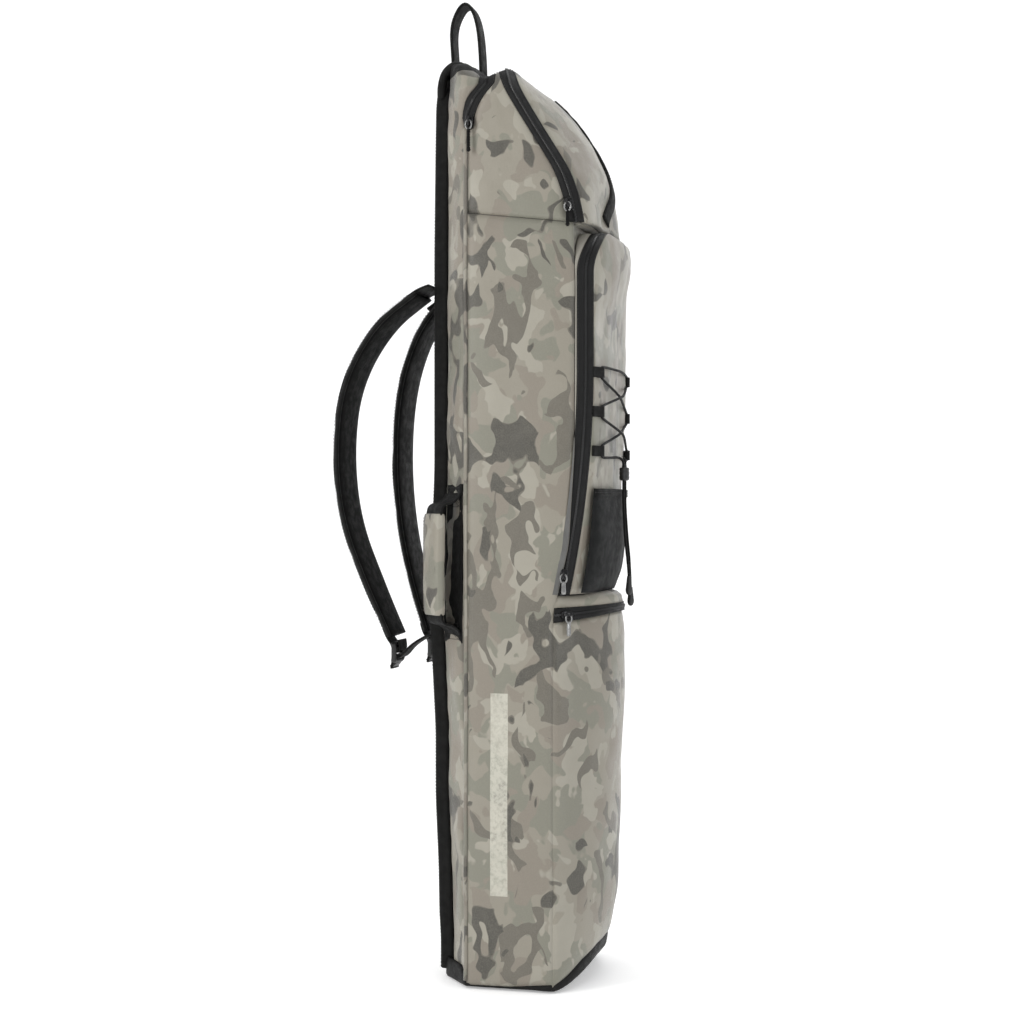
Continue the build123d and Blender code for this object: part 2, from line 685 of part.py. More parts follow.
def slider(body_plane, pull_plane, name, pull_length):
    """A slider on the outside of its zip, and the pull that hangs from its pin."""
    across = Plane(origin=pull_plane.origin + pull_plane.z_dir * pin_height, x_dir=pull_plane.x_dir,
                   z_dir=pull_plane.y_dir)
    with BuildPart() as body:
        with BuildSketch(body_plane.offset(0.4)) as foot:
            RectangleRounded(13, 8, 2.5)
        extrude(foot.sketch, amount=3)
        with BuildSketch(pull_plane.offset(3.4)) as lugs:
            with Locations((0, -3), (0, 3)):
                Rectangle(4, 1)
        extrude(lugs.sketch, amount=3.4)
        with BuildSketch(across) as pin:
            Circle(pin_radius)
        extrude(pin.sketch, amount=3, both=True)
    save(body.part, f"{name}_slider")
    with BuildPart() as pull:
        with BuildSketch(across) as eye:
            Circle(1.9)
            Circle(pin_radius + 0.3, mode=Mode.SUBTRACT)
        extrude(eye.sketch, amount=2.2, both=True)
        with BuildSketch(pull_plane.offset(pin_height - 0.8)) as tab:
            with Locations((-1.4 - pull_length / 2, 0)):
                RectangleRounded(pull_length, 4.4, 1.2)
            with Locations((-pull_length + 1.6, 0)):
                Circle(1.2, mode=Mode.SUBTRACT)
        extrude(tab.sketch, amount=1.6)
    save(pull.part, f"{name}_pull")


def side_plane(y, z, tilt):
    """Plane on the near side, x up the zip and z pointing away from the bag."""
    lean = radians(tilt)
    return Plane(origin=(-half_width, y, z), x_dir=(0, sin(lean), cos(lean)), z_dir=(-1, 0, 0))


# Main slider: on the arc over the near top corner.
main_turn = radians(8)
main_track = zip_radius - 4
main_y = seam_y - zip_radius + main_track * cos(main_turn)
main_z = zip_start_z + main_track * sin(main_turn)
slider(side_plane(main_y, main_z, -8), side_plane(main_y, main_z, 0), "main", 28)

# Hood slider: on the long arc of the hood's near zip.
slider(side_plane(-62.8, 819, 20.9), side_plane(-62.8, 819, 0), "hood", 22)

# Upper pocket slider: near the bottom of its near zip.
pocket_z = 434
pocket_y = zip_y(pocket_z) + 1
slider(side_plane(pocket_y, pocket_z, -11), side_plane(pocket_y, pocket_z, 0), "pocket", 20)

# Lower pocket slider: near end of the zip round the bowed front.
lower_sag = lower_sections[-1][1] - (pocket_edge_y - 3)
lower_radius = (half_width ** 2 + lower_sag ** 2) / (-2 * lower_sag)
lower_centre = lower_sections[-1][1] + lower_radius
lower_angle = radians(52)
lower_out = (-sin(lower_angle), -cos(lower_angle), 0)
lower_at = (lower_radius * lower_out[0], lower_centre + lower_radius * lower_out[1], (lower_zip_z + roof_z) / 2)
slider(Plane(origin=lower_at, x_dir=(lower_out[1], -lower_out[0], 0), z_dir=lower_out),
       Plane(origin=lower_at, x_dir=(0, 0, 1), z_dir=lower_out), "lower", 22)
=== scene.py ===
from math import atan2, cos, pi, radians, sin, sqrt

import bmesh
import bpy
import numpy as np
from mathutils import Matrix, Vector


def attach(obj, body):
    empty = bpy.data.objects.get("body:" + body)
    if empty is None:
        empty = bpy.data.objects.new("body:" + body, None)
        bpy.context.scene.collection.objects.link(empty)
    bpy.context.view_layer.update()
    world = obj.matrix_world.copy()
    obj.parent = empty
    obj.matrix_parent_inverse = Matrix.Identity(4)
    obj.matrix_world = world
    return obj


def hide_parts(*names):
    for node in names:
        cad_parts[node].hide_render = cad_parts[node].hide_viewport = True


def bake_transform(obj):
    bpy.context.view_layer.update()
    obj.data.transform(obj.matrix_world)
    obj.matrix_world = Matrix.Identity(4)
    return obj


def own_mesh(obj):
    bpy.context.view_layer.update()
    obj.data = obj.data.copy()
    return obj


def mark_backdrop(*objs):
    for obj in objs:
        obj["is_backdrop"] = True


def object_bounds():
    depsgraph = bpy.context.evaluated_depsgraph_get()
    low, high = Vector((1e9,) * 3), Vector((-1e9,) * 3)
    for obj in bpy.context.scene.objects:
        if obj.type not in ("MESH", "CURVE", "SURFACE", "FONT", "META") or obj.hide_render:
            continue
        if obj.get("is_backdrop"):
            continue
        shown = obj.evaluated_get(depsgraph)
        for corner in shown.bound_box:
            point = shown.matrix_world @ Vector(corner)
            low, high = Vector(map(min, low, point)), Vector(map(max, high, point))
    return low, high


# A tall padded stick bag. Sizes below are in millimetres in the row frame (+Z up, pockets at -Y,
# straps at +Y) and are turned into metres where a mesh is made.
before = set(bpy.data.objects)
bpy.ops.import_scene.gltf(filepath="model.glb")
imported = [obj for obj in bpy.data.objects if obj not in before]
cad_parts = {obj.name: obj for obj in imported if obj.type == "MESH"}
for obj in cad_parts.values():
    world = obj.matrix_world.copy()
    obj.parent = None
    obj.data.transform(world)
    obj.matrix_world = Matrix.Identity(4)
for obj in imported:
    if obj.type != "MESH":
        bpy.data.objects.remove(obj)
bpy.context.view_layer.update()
MM = 0.001
CENTRE = (0, 0, 480)

# ---- Sizes shared by the pieces ---------------------------------------------------------------
HALF = 95                # side panel to the middle of the bag
SEAM_Y = 48              # seam between the body and the back door
ZIP_HALF = 8.6           # half of a zip band
ARC_Y, ARC_Z, ARC_R = -14, 901, 62      # main zip over the near top corner
MAIN_TOP_Y = 26          # depth at which the main zip crosses the top
ARCH_R = 45              # rounded top corners of the bag
ARCH_TOP = 980
HINGE_Z = 808            # bottom of the hood flap
POCKET_TOP, POCKET_R = 793, 41
POCKET_LOW = 412.6
BACK_X, DOOR_Y = 58, 79
BIND = 6
PAD_TOP = 972
THREAD = 0.32


# ---- Noise and small geometry -----------------------------------------------------------------
def hashed(ix, iy, iz, seed):
    """A repeatable number from -1 to 1 for each lattice point."""
    h = (ix * 73856093) ^ (iy * 19349663) ^ (iz * 83492791) ^ (seed * 2654435761)
    h = (h ^ (h >> 13)) * 1274126177
    h = (h ^ (h >> 16)) & 0xFFFFF
    return h / 0x7FFFF - 1.0


def soft_noise(points, size, seed=0):
    """Smooth noise of about unit height whose lumps are size millimetres across."""
    p = np.asarray(points, float) / np.asarray(size, float)
    i = np.floor(p).astype(np.int64)
    f = p - i
    f = f * f * f * (f * (f * 6 - 15) + 10)
    total = 0.0
    for dx in (0, 1):
        for dy in (0, 1):
            for dz in (0, 1):
                wx = f[..., 0] if dx else 1 - f[..., 0]
                wy = f[..., 1] if dy else 1 - f[..., 1]
                wz = f[..., 2] if dz else 1 - f[..., 2]
                total = total + wx * wy * wz * hashed(i[..., 0] + dx, i[..., 1] + dy, i[..., 2] + dz, seed)
    return total


def smooth_step(x, low, high):
    t = np.clip((np.asarray(x, float) - low) / (high - low), 0, 1)
    return t * t * (3 - 2 * t)


def soft_min(a, b, reach):
    """The smaller of two values, rounded where they cross."""
    h = np.clip(0.5 + 0.5 * (b - a) / reach, 0, 1)
    return b * (1 - h) + a * h - reach * h * (1 - h)


def through(x, xs, ys, reach=8):
    """A line through points, rounded over a short reach."""
    x = np.asarray(x, float)
    offsets = np.linspace(-reach, reach, 9)
    return sum(np.interp(x + d, xs, ys) for d in offsets) / len(offsets)


def grid_normals(p, away=CENTRE):
    """Unit normals of a grid of points, turned away from a point inside the bag."""
    n = np.cross(np.gradient(p, axis=0), np.gradient(p, axis=1))
    n /= np.maximum(np.linalg.norm(n, axis=2, keepdims=True), 1e-9)
    inside = np.array(away, float)
    if away[2] == CENTRE[2]:
        inside = np.array([away[0], away[1], 0.0]) * [1, 1, 0] + p.mean((0, 1)) * [0, 0, 1]
    if (n * (p - inside)).sum() < 0:
        n = -n
    return n


def edge_distance(p, sides="uvUV"):
    """Distance of each grid point from the chosen borders, along the grid."""
    found = []
    for axis, start, end in ((0, "u", "U"), (1, "v", "V")):
        step = np.linalg.norm(np.diff(p, axis=axis), axis=2)
        first = np.zeros_like(np.take(step, [0], axis=axis))
        along = np.concatenate([first, np.cumsum(step, axis=axis)], axis=axis)
        whole = np.take(along, [-1], axis=axis)
        if start in sides:
            found.append(along)
        if end in sides:
            found.append(whole - along)
    return np.minimum.reduce(found)


def add_mesh(name, verts, faces, materials, slots=None, smooth=True):
    mesh = bpy.data.meshes.new(name)
    mesh.from_pydata((np.asarray(verts, float) * MM).tolist(), [], faces)
    for material in materials:
        mesh.materials.append(material)
    if slots is not None:
        mesh.polygons.foreach_set("material_index", slots)
    mesh.polygons.foreach_set("use_smooth", [smooth] * len(mesh.polygons))
    mesh.update()
    piece = bpy.data.objects.new(name, mesh)
    bpy.context.scene.collection.objects.link(piece)
    return piece


def grid_faces(nu, nv, first=0, flip=False):
    i = np.arange(nu * nv).reshape(nu, nv) + first
    a, b, c, d = i[:-1, :-1], i[1:, :-1], i[1:, 1:], i[:-1, 1:]
    order = (a, d, c, b) if flip else (a, b, c, d)
    return np.stack(order, axis=-1).reshape(-1, 4).tolist()


def shell(name, p, outside, inside=None, thick=3.0, puff=1.6, reach=9.0, ruffle=0.6, seed=0,
          away=CENTRE, sides="uvUV", sink=0.5, fold=(26, 26, 60)):
    """A cloth panel: a grid of points made thick, swelling away from its sewn edges."""
    n = grid_normals(p, away)
    d = edge_distance(p, sides)
    swell = 1 - np.exp(-d / reach)
    height = puff * swell - sink * np.exp(-d / 1.6)
    calm = np.minimum(1, d / 5)
    height += ruffle * calm * soft_noise(p, fold, seed)
    height += 0.45 * ruffle * calm * soft_noise(p, np.array(fold) / 2.6, seed + 5)
    height += 0.42 * np.exp(-d / 7) * calm * soft_noise(p, (6.5, 6.5, 6.5), seed + 9)
    outer = p + n * height[..., None]
    inner = p - n * thick
    nu, nv = p.shape[:2]
    u, v = np.cross(np.gradient(p, axis=0), np.gradient(p, axis=1)), n
    flip = (u * v).sum() < 0
    count = nu * nv
    faces = grid_faces(nu, nv, 0, flip)
    slots = [0] * len(faces)
    back = grid_faces(nu, nv, count, not flip)
    faces += back
    slots += [1 if inside else 0] * len(back)
    i = np.arange(count).reshape(nu, nv)
    ring = list(i[:, 0]) + list(i[-1, 1:]) + list(i[-2::-1, -1]) + list(i[0, -2:0:-1])
    for a, b in zip(ring, ring[1:] + ring[:1]):
        rim = (int(a), int(a + count), int(b + count), int(b))
        faces.append(rim[::-1] if flip else rim)
        slots.append(0)
    verts = np.concatenate([outer.reshape(-1, 3), inner.reshape(-1, 3)])
    return add_mesh(name, verts, faces, [outside] + ([inside] if inside else []), slots)


def path_frames(path, normal):
    """Unit tangents, sideways directions and normals along a path."""
    path = np.asarray(path, float)
    t = np.gradient(path, axis=0)
    t /= np.maximum(np.linalg.norm(t, axis=1, keepdims=True), 1e-9)
    n = np.broadcast_to(np.asarray(normal, float), path.shape)
    n = n - (n * t).sum(1, keepdims=True) * t
    n = n / np.maximum(np.linalg.norm(n, axis=1, keepdims=True), 1e-9)
    return t, np.cross(t, n), n


def sweep_grid(path, normal, section, scale=None):
    """Rings of a section (sideways, out) placed along a path."""
    path = np.asarray(path, float)
    _, side, n = path_frames(path, normal)
    section = np.asarray(section, float)
    k = np.ones(len(path)) if scale is None else np.asarray(scale, float)
    return (path[:, None] + side[:, None] * (section[None, :, :1] * k[:, None, None])
            + n[:, None] * (section[None, :, 1:] * k[:, None, None]))


def ring_faces(rings, around, first=0, caps=True):
    faces = []
    for i in range(rings - 1):
        for j in range(around):
            a, b = first + i * around + j, first + i * around + (j + 1) % around
            faces.append((a, b, b + around, a + around))
    if caps:
        faces.append(tuple(range(first + around - 1, first - 1, -1)))
        faces.append(tuple(range(first + (rings - 1) * around, first + rings * around)))
    return faces


def sweep(name, path, normal, section, material, scale=None):
    """A solid band, pipe or pad along a path."""
    grid = sweep_grid(path, normal, section, scale)
    piece = add_mesh(name, grid.reshape(-1, 3), ring_faces(len(grid), len(section)), [material])
    tidy_normals(piece)
    return piece


def tidy_normals(piece):
    bm = bmesh.new()
    bm.from_mesh(piece.data)
    bmesh.ops.recalc_face_normals(bm, faces=bm.faces)
    bm.to_mesh(piece.data)
    bm.free()


def round_section(width, thick, corner=None, ribs=0.0, steps=5):
    """A rounded rectangle, its back on zero, with low ribs along a woven band's edges."""
    r = min(thick / 2, width / 2) if corner is None else corner
    points = []
    for cx, cy, start in ((width / 2 - r, thick - r, 0), (-width / 2 + r, thick - r, 90),
                          (-width / 2 + r, r, 180), (width / 2 - r, r, 270)):
        for k in range(steps):
            a = radians(start + 90 * k / (steps - 1))
            points.append((cx + r * cos(a), cy + r * sin(a)))
        if start == 0 and ribs:
            inner = width / 2 - 3.0
            points += [(inner + 0.8, thick), (inner, thick - ribs), (inner - 1.2, thick)]
            points += [(0, thick + ribs * 0.4), (-inner + 1.2, thick), (-inner, thick - ribs),
                       (-inner - 0.8, thick)]
    return points


def circle_section(radius, steps=10):
    return [(radius * cos(2 * pi * k / steps), radius * sin(2 * pi * k / steps)) for k in range(steps)]


def evenly(path, step):
    """The same line with points about step apart."""
    path = np.asarray(path, float)
    along = np.concatenate([[0], np.cumsum(np.linalg.norm(np.diff(path, axis=0), axis=1))])
    at = np.linspace(0, along[-1], max(3, int(round(along[-1] / step)) + 1))
    return np.stack([np.interp(at, along, path[:, k]) for k in range(3)], axis=1)


def rounded(points, step=4.0, passes=3):
    """A smooth line through given points: corners cut, then spaced evenly."""
    p = np.asarray(points, float)
    for _ in range(passes):
        q = 0.75 * p[:-1] + 0.25 * p[1:]
        r = 0.25 * p[:-1] + 0.75 * p[1:]
        p = np.concatenate([p[:1], np.stack([q, r], 1).reshape(-1, 3), p[-1:]])
    return evenly(p, step)


def nearest_normals(path, surface, away=CENTRE):
    """For each path point, the normal of the nearest point of a grid."""
    n = grid_normals(surface, away).reshape(-1, 3)
    flat = surface.reshape(-1, 3)
    return np.array([n[((flat - q) ** 2).sum(1).argmin()] for q in np.asarray(path, float)])


def stitches(name, path, normal, material, body, pitch=3.6, length=2.5, lift=0.25):
    """A row of thread stitches lying on a surface."""
    line = evenly(path, pitch)
    full = np.asarray(path, float)
    normals = np.broadcast_to(np.asarray(normal, float), full.shape)
    picked = np.array([normals[((full - q) ** 2).sum(1).argmin()] for q in line])
    t, side, n = path_frames(line, picked)
    verts, faces = [], []
    for q, ti, si, ni in zip(line, t, side, n):
        first = len(verts)
        for at, width in ((-length / 2, 0.3), (-length / 4, 1.0), (length / 4, 1.0), (length / 2, 0.3)):
            drop = -0.25 if width < 1 else 0.0
            for a in (0, 90, 180, 270):
                r = THREAD * width
                verts.append(q + ti * at + si * r * cos(radians(a))
                             + ni * (lift + drop + r * sin(radians(a))))
        faces += ring_faces(4, 4, first)
    piece = add_mesh(name, verts, faces, [material])
    return dress(piece, body) if body else piece


def dress(piece, body, nodes=()):
    """Ride a body and stand for CAD nodes."""
    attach(piece, body)
    if nodes:
        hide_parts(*nodes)
    return piece


def bend(piece, bodies, start, end, slot=None, nodes=()):
    """Bake a piece's placement into its mesh and hide the CAD nodes it stands for; it bends nothing and rides
    no body.
    """
    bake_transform(piece)
    if nodes:
        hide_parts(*nodes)
    return piece


# ---- Materials --------------------------------------------------------------------------------
class Nodes:
    """A short way to write a node material."""

    def __init__(self, name):
        self.material = bpy.data.materials.new(name)
        self.material.use_nodes = True
        self.tree = self.material.node_tree
        self.tree.nodes.clear()
        self.shader = self.add("ShaderNodeBsdfPrincipled")
        output = self.add("ShaderNodeOutputMaterial")
        self.link(self.shader.outputs[0], output.inputs[0])
        self.place = self.add("ShaderNodeTexCoord").outputs["Object"]

    def add(self, kind, **settings):
        node = self.tree.nodes.new(kind)
        for key, value in settings.items():
            setattr(node, key, value)
        return node

    def link(self, a, b):
        self.tree.links.new(a, b)

    def put(self, socket, value):
        if isinstance(value, bpy.types.NodeSocket):
            self.link(value, socket)
        else:
            socket.default_value = value

    def scaled(self, scale, shift=(0, 0, 0), source=None):
        node = self.add("ShaderNodeMapping")
        self.link(source or self.place, node.inputs["Vector"])
        node.inputs["Scale"].default_value = scale
        node.inputs["Location"].default_value = shift
        return node.outputs[0]

    def noise(self, vector, scale, detail=2.0, roughness=0.5, distortion=0.0):
        node = self.add("ShaderNodeTexNoise")
        self.link(vector, node.inputs["Vector"])
        node.inputs["Scale"].default_value = scale
        node.inputs["Detail"].default_value = detail
        node.inputs["Roughness"].default_value = roughness
        node.inputs["Distortion"].default_value = distortion
        return node

    def sum(self, operation, a, b=0.0, clamp=False):
        node = self.add("ShaderNodeMath", operation=operation, use_clamp=clamp)
        self.put(node.inputs[0], a)
        self.put(node.inputs[1], b)
        return node.outputs[0]

    def between(self, value, low, high, to_low=0.0, to_high=1.0):
        node = self.add("ShaderNodeMapRange", interpolation_type="SMOOTHSTEP")
        self.put(node.inputs["Value"], value)
        self.put(node.inputs["From Min"], low)
        self.put(node.inputs["From Max"], high)
        self.put(node.inputs["To Min"], to_low)
        self.put(node.inputs["To Max"], to_high)
        return node.outputs[0]

    def mix(self, share, a, b):
        node = self.add("ShaderNodeMix", data_type="RGBA")
        self.put(node.inputs[0], share)
        for socket, value in ((node.inputs[6], a), (node.inputs[7], b)):
            self.put(socket, value if isinstance(value, bpy.types.NodeSocket) else (*value, 1.0))
        return node.outputs[2]

    def weave(self, pitch_mm, vector=None):
        """Height of a plain weave: two sets of fine waves, crossed."""
        k = 2 * pi / (pitch_mm * MM)
        parts = self.add("ShaderNodeSeparateXYZ")
        self.link(vector or self.place, parts.inputs[0])
        level = self.sum("SINE", self.sum("MULTIPLY", parts.outputs["Z"], k))
        flat = self.sum("ADD", parts.outputs["X"], self.sum("MULTIPLY", parts.outputs["Y"], 1.13))
        return self.sum("MULTIPLY", level, self.sum("SINE", self.sum("MULTIPLY", flat, k)))

    def bump(self, height, distance_mm, strength=1.0, normal=None):
        node = self.add("ShaderNodeBump")
        node.inputs["Strength"].default_value = strength
        node.inputs["Distance"].default_value = distance_mm * MM
        self.link(height, node.inputs["Height"])
        if normal:
            self.link(normal, node.inputs["Normal"])
        return node.outputs[0]

    def finish(self, color, roughness, normal=None, **fixed):
        self.put(self.shader.inputs["Base Color"], color)
        self.put(self.shader.inputs["Roughness"], roughness)
        if normal:
            self.link(normal, self.shader.inputs["Normal"])
        for key, value in fixed.items():
            self.shader.inputs[key.replace("_", " ")].default_value = value
        return self.material


def srgb(r, g, b):
    """Linear colour from 0-255 screen values."""
    values = [v / 255 for v in (r, g, b)]
    return tuple(v / 12.92 if v <= 0.04045 else ((v + 0.055) / 1.055) ** 2.4 for v in values)


def camo_material(name, shift=(0, 0, 0), light=1.0, stripe=False):
    """Printed cloth: broad pale patches under dark, forked, branch-like marks."""
    m = Nodes(name)
    moved = m.scaled((1, 1, 1), shift)
    push = m.noise(moved, 17, 2.0).outputs["Color"]
    bent = m.add("ShaderNodeMix", data_type="RGBA", blend_type="LINEAR_LIGHT")
    bent.inputs[0].default_value = 0.022
    m.link(moved, bent.inputs[6])
    m.link(push, bent.inputs[7])
    bent = bent.outputs[2]
    # light below 1 darkens every colour of the print: a painted shade.
    base = [tuple(c * light for c in srgb(*rgb)) for rgb in
            ((138, 133, 121), (122, 121, 109), (129, 122, 111), (151, 147, 135), (73, 71, 65), (100, 96, 87))]
    sand, olive, rose, pale, dark, edge = base
    olive_at = m.noise(m.scaled((1.0, 1.0, 0.8), (3.1, 0.4, 1.7), bent), 22, 2.5, 0.5).outputs["Fac"]
    rose_at = m.noise(m.scaled((1.0, 1.0, 0.8), (7.3, 2.2, 0.6), bent), 25, 2.5, 0.5).outputs["Fac"]
    pale_at = m.noise(m.scaled((1.0, 1.0, 0.8), (1.9, 5.5, 4.2), bent), 30, 2.5, 0.5).outputs["Fac"]
    color = m.mix(m.between(olive_at, 0.495, 0.51), sand, olive)
    color = m.mix(m.between(rose_at, 0.54, 0.555), color, rose)
    color = m.mix(m.between(pale_at, 0.56, 0.58), color, pale)
    for seed, reach, tone in ((9.7, 0.062, edge), (5.4, 0.074, dark)):
        vein = m.noise(m.scaled((1.0, 1.0, 0.6), (seed, 1.3, 2.9), bent), 25, 1.6, 0.45).outputs["Fac"]
        ridge = m.sum("ABSOLUTE", m.sum("SUBTRACT", vein, 0.5))
        where = m.noise(m.scaled((1.0, 1.0, 0.8), (2.6, 6.6 + seed, 1.1), bent), 19, 2.0, 0.5).outputs["Fac"]
        inner = m.sum("SUBTRACT", m.between(where, 0.49, 0.62, -0.03, reach), ridge)
        if tone is dark:
            color = m.mix(m.between(inner, -0.006, 0.0), color, edge)
        color = m.mix(m.between(inner, 0.003, 0.008), color, tone)
    if stripe:
        parts = m.add("ShaderNodeSeparateXYZ")
        m.link(m.place, parts.inputs[0])
        mask = m.sum("MULTIPLY", m.between(parts.outputs["Y"], 0.0015, 0.0018),
                     m.between(parts.outputs["Y"], 0.0205, 0.0202))
        mask = m.sum("MULTIPLY", mask, m.between(parts.outputs["Z"], 0.098, 0.0983))
        mask = m.sum("MULTIPLY", mask, m.between(parts.outputs["Z"], 0.31, 0.3097))
        worn = m.between(m.noise(m.place, 220, 3.0, 0.7).outputs["Fac"], 0.3, 0.6, 0.45, 0.85)
        color = m.mix(m.sum("MULTIPLY", mask, worn), color, srgb(196, 194, 181))
    cloudy = m.noise(m.place, 55, 3.0, 0.6).outputs["Fac"]
    color = m.mix(m.between(cloudy, 0.3, 0.75, 0.0, 0.13), color, tuple(c * 0.78 for c in sand))
    thread = m.noise(m.place, 900, 1.0).outputs["Fac"]
    color = m.mix(m.between(thread, 0.35, 0.7, 0.0, 0.10), color, tuple(c * 1.35 for c in sand))
    rough = m.between(m.noise(m.place, 70, 3.0).outputs["Fac"], 0.3, 0.7, 0.34, 0.48)
    normal = m.bump(m.noise(m.place, 190, 3.0, 0.6).outputs["Fac"], 0.45, 0.5)
    normal = m.bump(m.weave(0.9), 0.05, 0.6, normal)
    return m.finish(color, rough, normal, Sheen_Weight=0.25, Sheen_Roughness=0.4, Specular_IOR_Level=0.42)


def cloth_material(name, rgb, rough=(0.6, 0.8), pitch=1.1, depth=0.12, sheen=0.15, tint=0.35, level=0.35):
    """Plain woven cloth, webbing or tape in one colour with worn, paler high spots."""
    m = Nodes(name)
    base = srgb(*rgb)
    lighter = tuple(min(1, c * (1 + 1.3 * tint)) for c in base)
    wear = m.noise(m.place, 40, 4.0, 0.6).outputs["Fac"]
    color = m.mix(m.between(wear, 0.35, 0.75, 0.0, 0.6), base, lighter)
    yarn = m.weave(pitch)
    color = m.mix(m.between(yarn, -1.0, 1.0, 0.0, 0.4), color, tuple(c * 0.55 for c in base))
    roughness = m.between(m.noise(m.place, 120, 2.0).outputs["Fac"], 0.3, 0.7, *rough)
    normal = m.bump(m.noise(m.place, 260, 2.0).outputs["Fac"], 0.2, 0.4)
    normal = m.bump(yarn, depth, 0.8, normal)
    return m.finish(color, roughness, normal, Sheen_Weight=sheen, Sheen_Roughness=0.5,
                    Specular_IOR_Level=level)


def mesh_material():
    """Pale spacer mesh: rows of small round holes, painted dark as the shade down in them."""
    m = Nodes("spacer_mesh")
    spots = m.add("ShaderNodeTexVoronoi", feature="F1")
    m.link(m.scaled((1.0, 0.3, 0.8)), spots.inputs["Vector"])
    spots.inputs["Scale"].default_value = 420
    spots.inputs["Randomness"].default_value = 0.12
    hole = m.between(spots.outputs["Distance"], 0.22, 0.34, 1.0, 0.0)
    tone = m.noise(m.place, 30, 3.0).outputs["Fac"]
    color = m.mix(m.between(tone, 0.3, 0.7), srgb(138, 138, 135), srgb(154, 154, 151))
    # Painted shade: the holes take a dark grey.
    color = m.mix(hole, color, srgb(72, 72, 71))
    normal = m.bump(m.sum("SUBTRACT", 1.0, hole), 0.5, 0.8)
    return m.finish(color, 0.75, normal, Sheen_Weight=0.3, Sheen_Roughness=0.5, Specular_IOR_Level=0.3)


def plastic_material(name, rgb, rough=0.42):
    """Moulded plastic with a fine spark-eroded grain."""
    m = Nodes(name)
    base = srgb(*rgb)
    grain = m.noise(m.place, 1400, 2.0).outputs["Fac"]
    tone = m.noise(m.place, 60, 3.0).outputs["Fac"]
    color = m.mix(m.between(tone, 0.3, 0.7), base, tuple(c * 1.5 + 0.002 for c in base))
    roughness = m.between(m.noise(m.place, 300, 3.0).outputs["Fac"], 0.3, 0.7, rough - 0.06, rough + 0.1)
    return m.finish(color, roughness, m.bump(grain, 0.04, 0.5), Specular_IOR_Level=0.5)


def metal_material(name, rgb, rough=0.32):
    """Cast metal, worn brighter in patches."""
    m = Nodes(name)
    base = srgb(*rgb)
    wear = m.noise(m.place, 350, 4.0, 0.7).outputs["Fac"]
    color = m.mix(m.between(wear, 0.45, 0.7), base, tuple(min(1, c * 1.6 + 0.03) for c in base))
    roughness = m.between(wear, 0.3, 0.7, rough + 0.12, rough - 0.06)
    normal = m.bump(m.noise(m.place, 900, 2.0).outputs["Fac"], 0.03, 0.5)
    return m.finish(color, roughness, normal, Metallic=0.85)


CAMO = camo_material("camo_cloth")
CAMO_SIDE = camo_material("camo_cloth_with_stripe", stripe=True)
# A darker copy of the print (light 0.86): painted shade for the seam strip and for cloth in the recesses
# under the hood flap and behind the upper pocket's top.
CAMO_PAINTED_SHADE = camo_material("camo_cloth_painted_shade", (0.31, 0.12, 0.07), 0.86)
LINING = cloth_material("lining_cloth", (92, 92, 90), (0.55, 0.75), 1.3, 0.08, 0.1)
GUSSET = cloth_material("gusset_cloth", (148, 144, 134), (0.5, 0.7), 1.0, 0.07, 0.1, 0.12)
BLACK = cloth_material("black_webbing", (15, 15, 14), (0.55, 0.75), 1.6, 0.25, 0.02, 0.35, 0.18)
TAPE = cloth_material("zip_tape", (17, 17, 17), (0.42, 0.58), 0.8, 0.06, 0.0, 0.35, 0.22)
TEETH = plastic_material("zip_teeth", (14, 14, 14), 0.35)
BASE = cloth_material("base_cloth", (15, 15, 14), (0.45, 0.6), 0.9, 0.1, 0.0, 0.35, 0.2)
STRETCH = cloth_material("stretch_cloth", (20, 21, 21), (0.62, 0.8), 0.7, 0.05, 0.02, 0.35, 0.18)
PAD = cloth_material("strap_cloth", (11, 11, 11), (0.6, 0.8), 1.2, 0.12, 0.0, 0.35, 0.14)
CORD = cloth_material("cord_braid", (14, 14, 14), (0.5, 0.7), 1.1, 0.3, 0.0, 0.35, 0.2)
MESH = mesh_material()
PLASTIC = plastic_material("black_plastic", (17, 17, 17))
METAL = metal_material("slider_metal", (38, 38, 39))
RING = metal_material("pull_ring", (128, 128, 127), 0.28)
STEEL = metal_material("spring_steel", (150, 150, 152), 0.25)
BROWN = cloth_material("seam_thread", (96, 88, 76), (0.6, 0.8), 0.5, 0.05)
BLACK_THREAD = cloth_material("black_thread", (34, 34, 33), (0.5, 0.7), 0.5, 0.05)


# ---- More small makers ------------------------------------------------------------------------
def join(name, pieces):
    """One mesh from several, each keeping its material."""
    verts, faces, slots, materials = [], [], [], []
    for piece in pieces:
        mesh = piece.data
        first = len(verts)
        verts += [tuple(c / MM for c in v.co) for v in mesh.vertices]
        for face in mesh.polygons:
            faces.append(tuple(i + first for i in face.vertices))
            material = mesh.materials[face.material_index]
            if material not in materials:
                materials.append(material)
            slots.append(materials.index(material))
        bpy.data.objects.remove(piece)
        bpy.data.meshes.remove(mesh)
    return add_mesh(name, verts, faces, materials, slots)


def ring(name, path, normal, section, material):
    """A closed loop of one section; the path's last point leads back to its first."""
    path = np.asarray(path, float)
    t = np.roll(path, -1, 0) - np.roll(path, 1, 0)
    t /= np.linalg.norm(t, axis=1, keepdims=True)
    n = np.broadcast_to(np.asarray(normal, float), path.shape)
    n = n - (n * t).sum(1, keepdims=True) * t
    n /= np.linalg.norm(n, axis=1, keepdims=True)
    side = np.cross(t, n)
    section = np.asarray(section, float)
    grid = path[:, None] + side[:, None] * section[None, :, :1] + n[:, None] * section[None, :, 1:]
    around, count = len(section), len(path)
    faces = []
    for i in range(count):
        for j in range(around):
            k, m = (i + 1) % count, (j + 1) % around
            faces.append((i * around + j, i * around + m, k * around + m, k * around + j))
    piece = add_mesh(name, grid.reshape(-1, 3), faces, [material])
    tidy_normals(piece)
    return piece


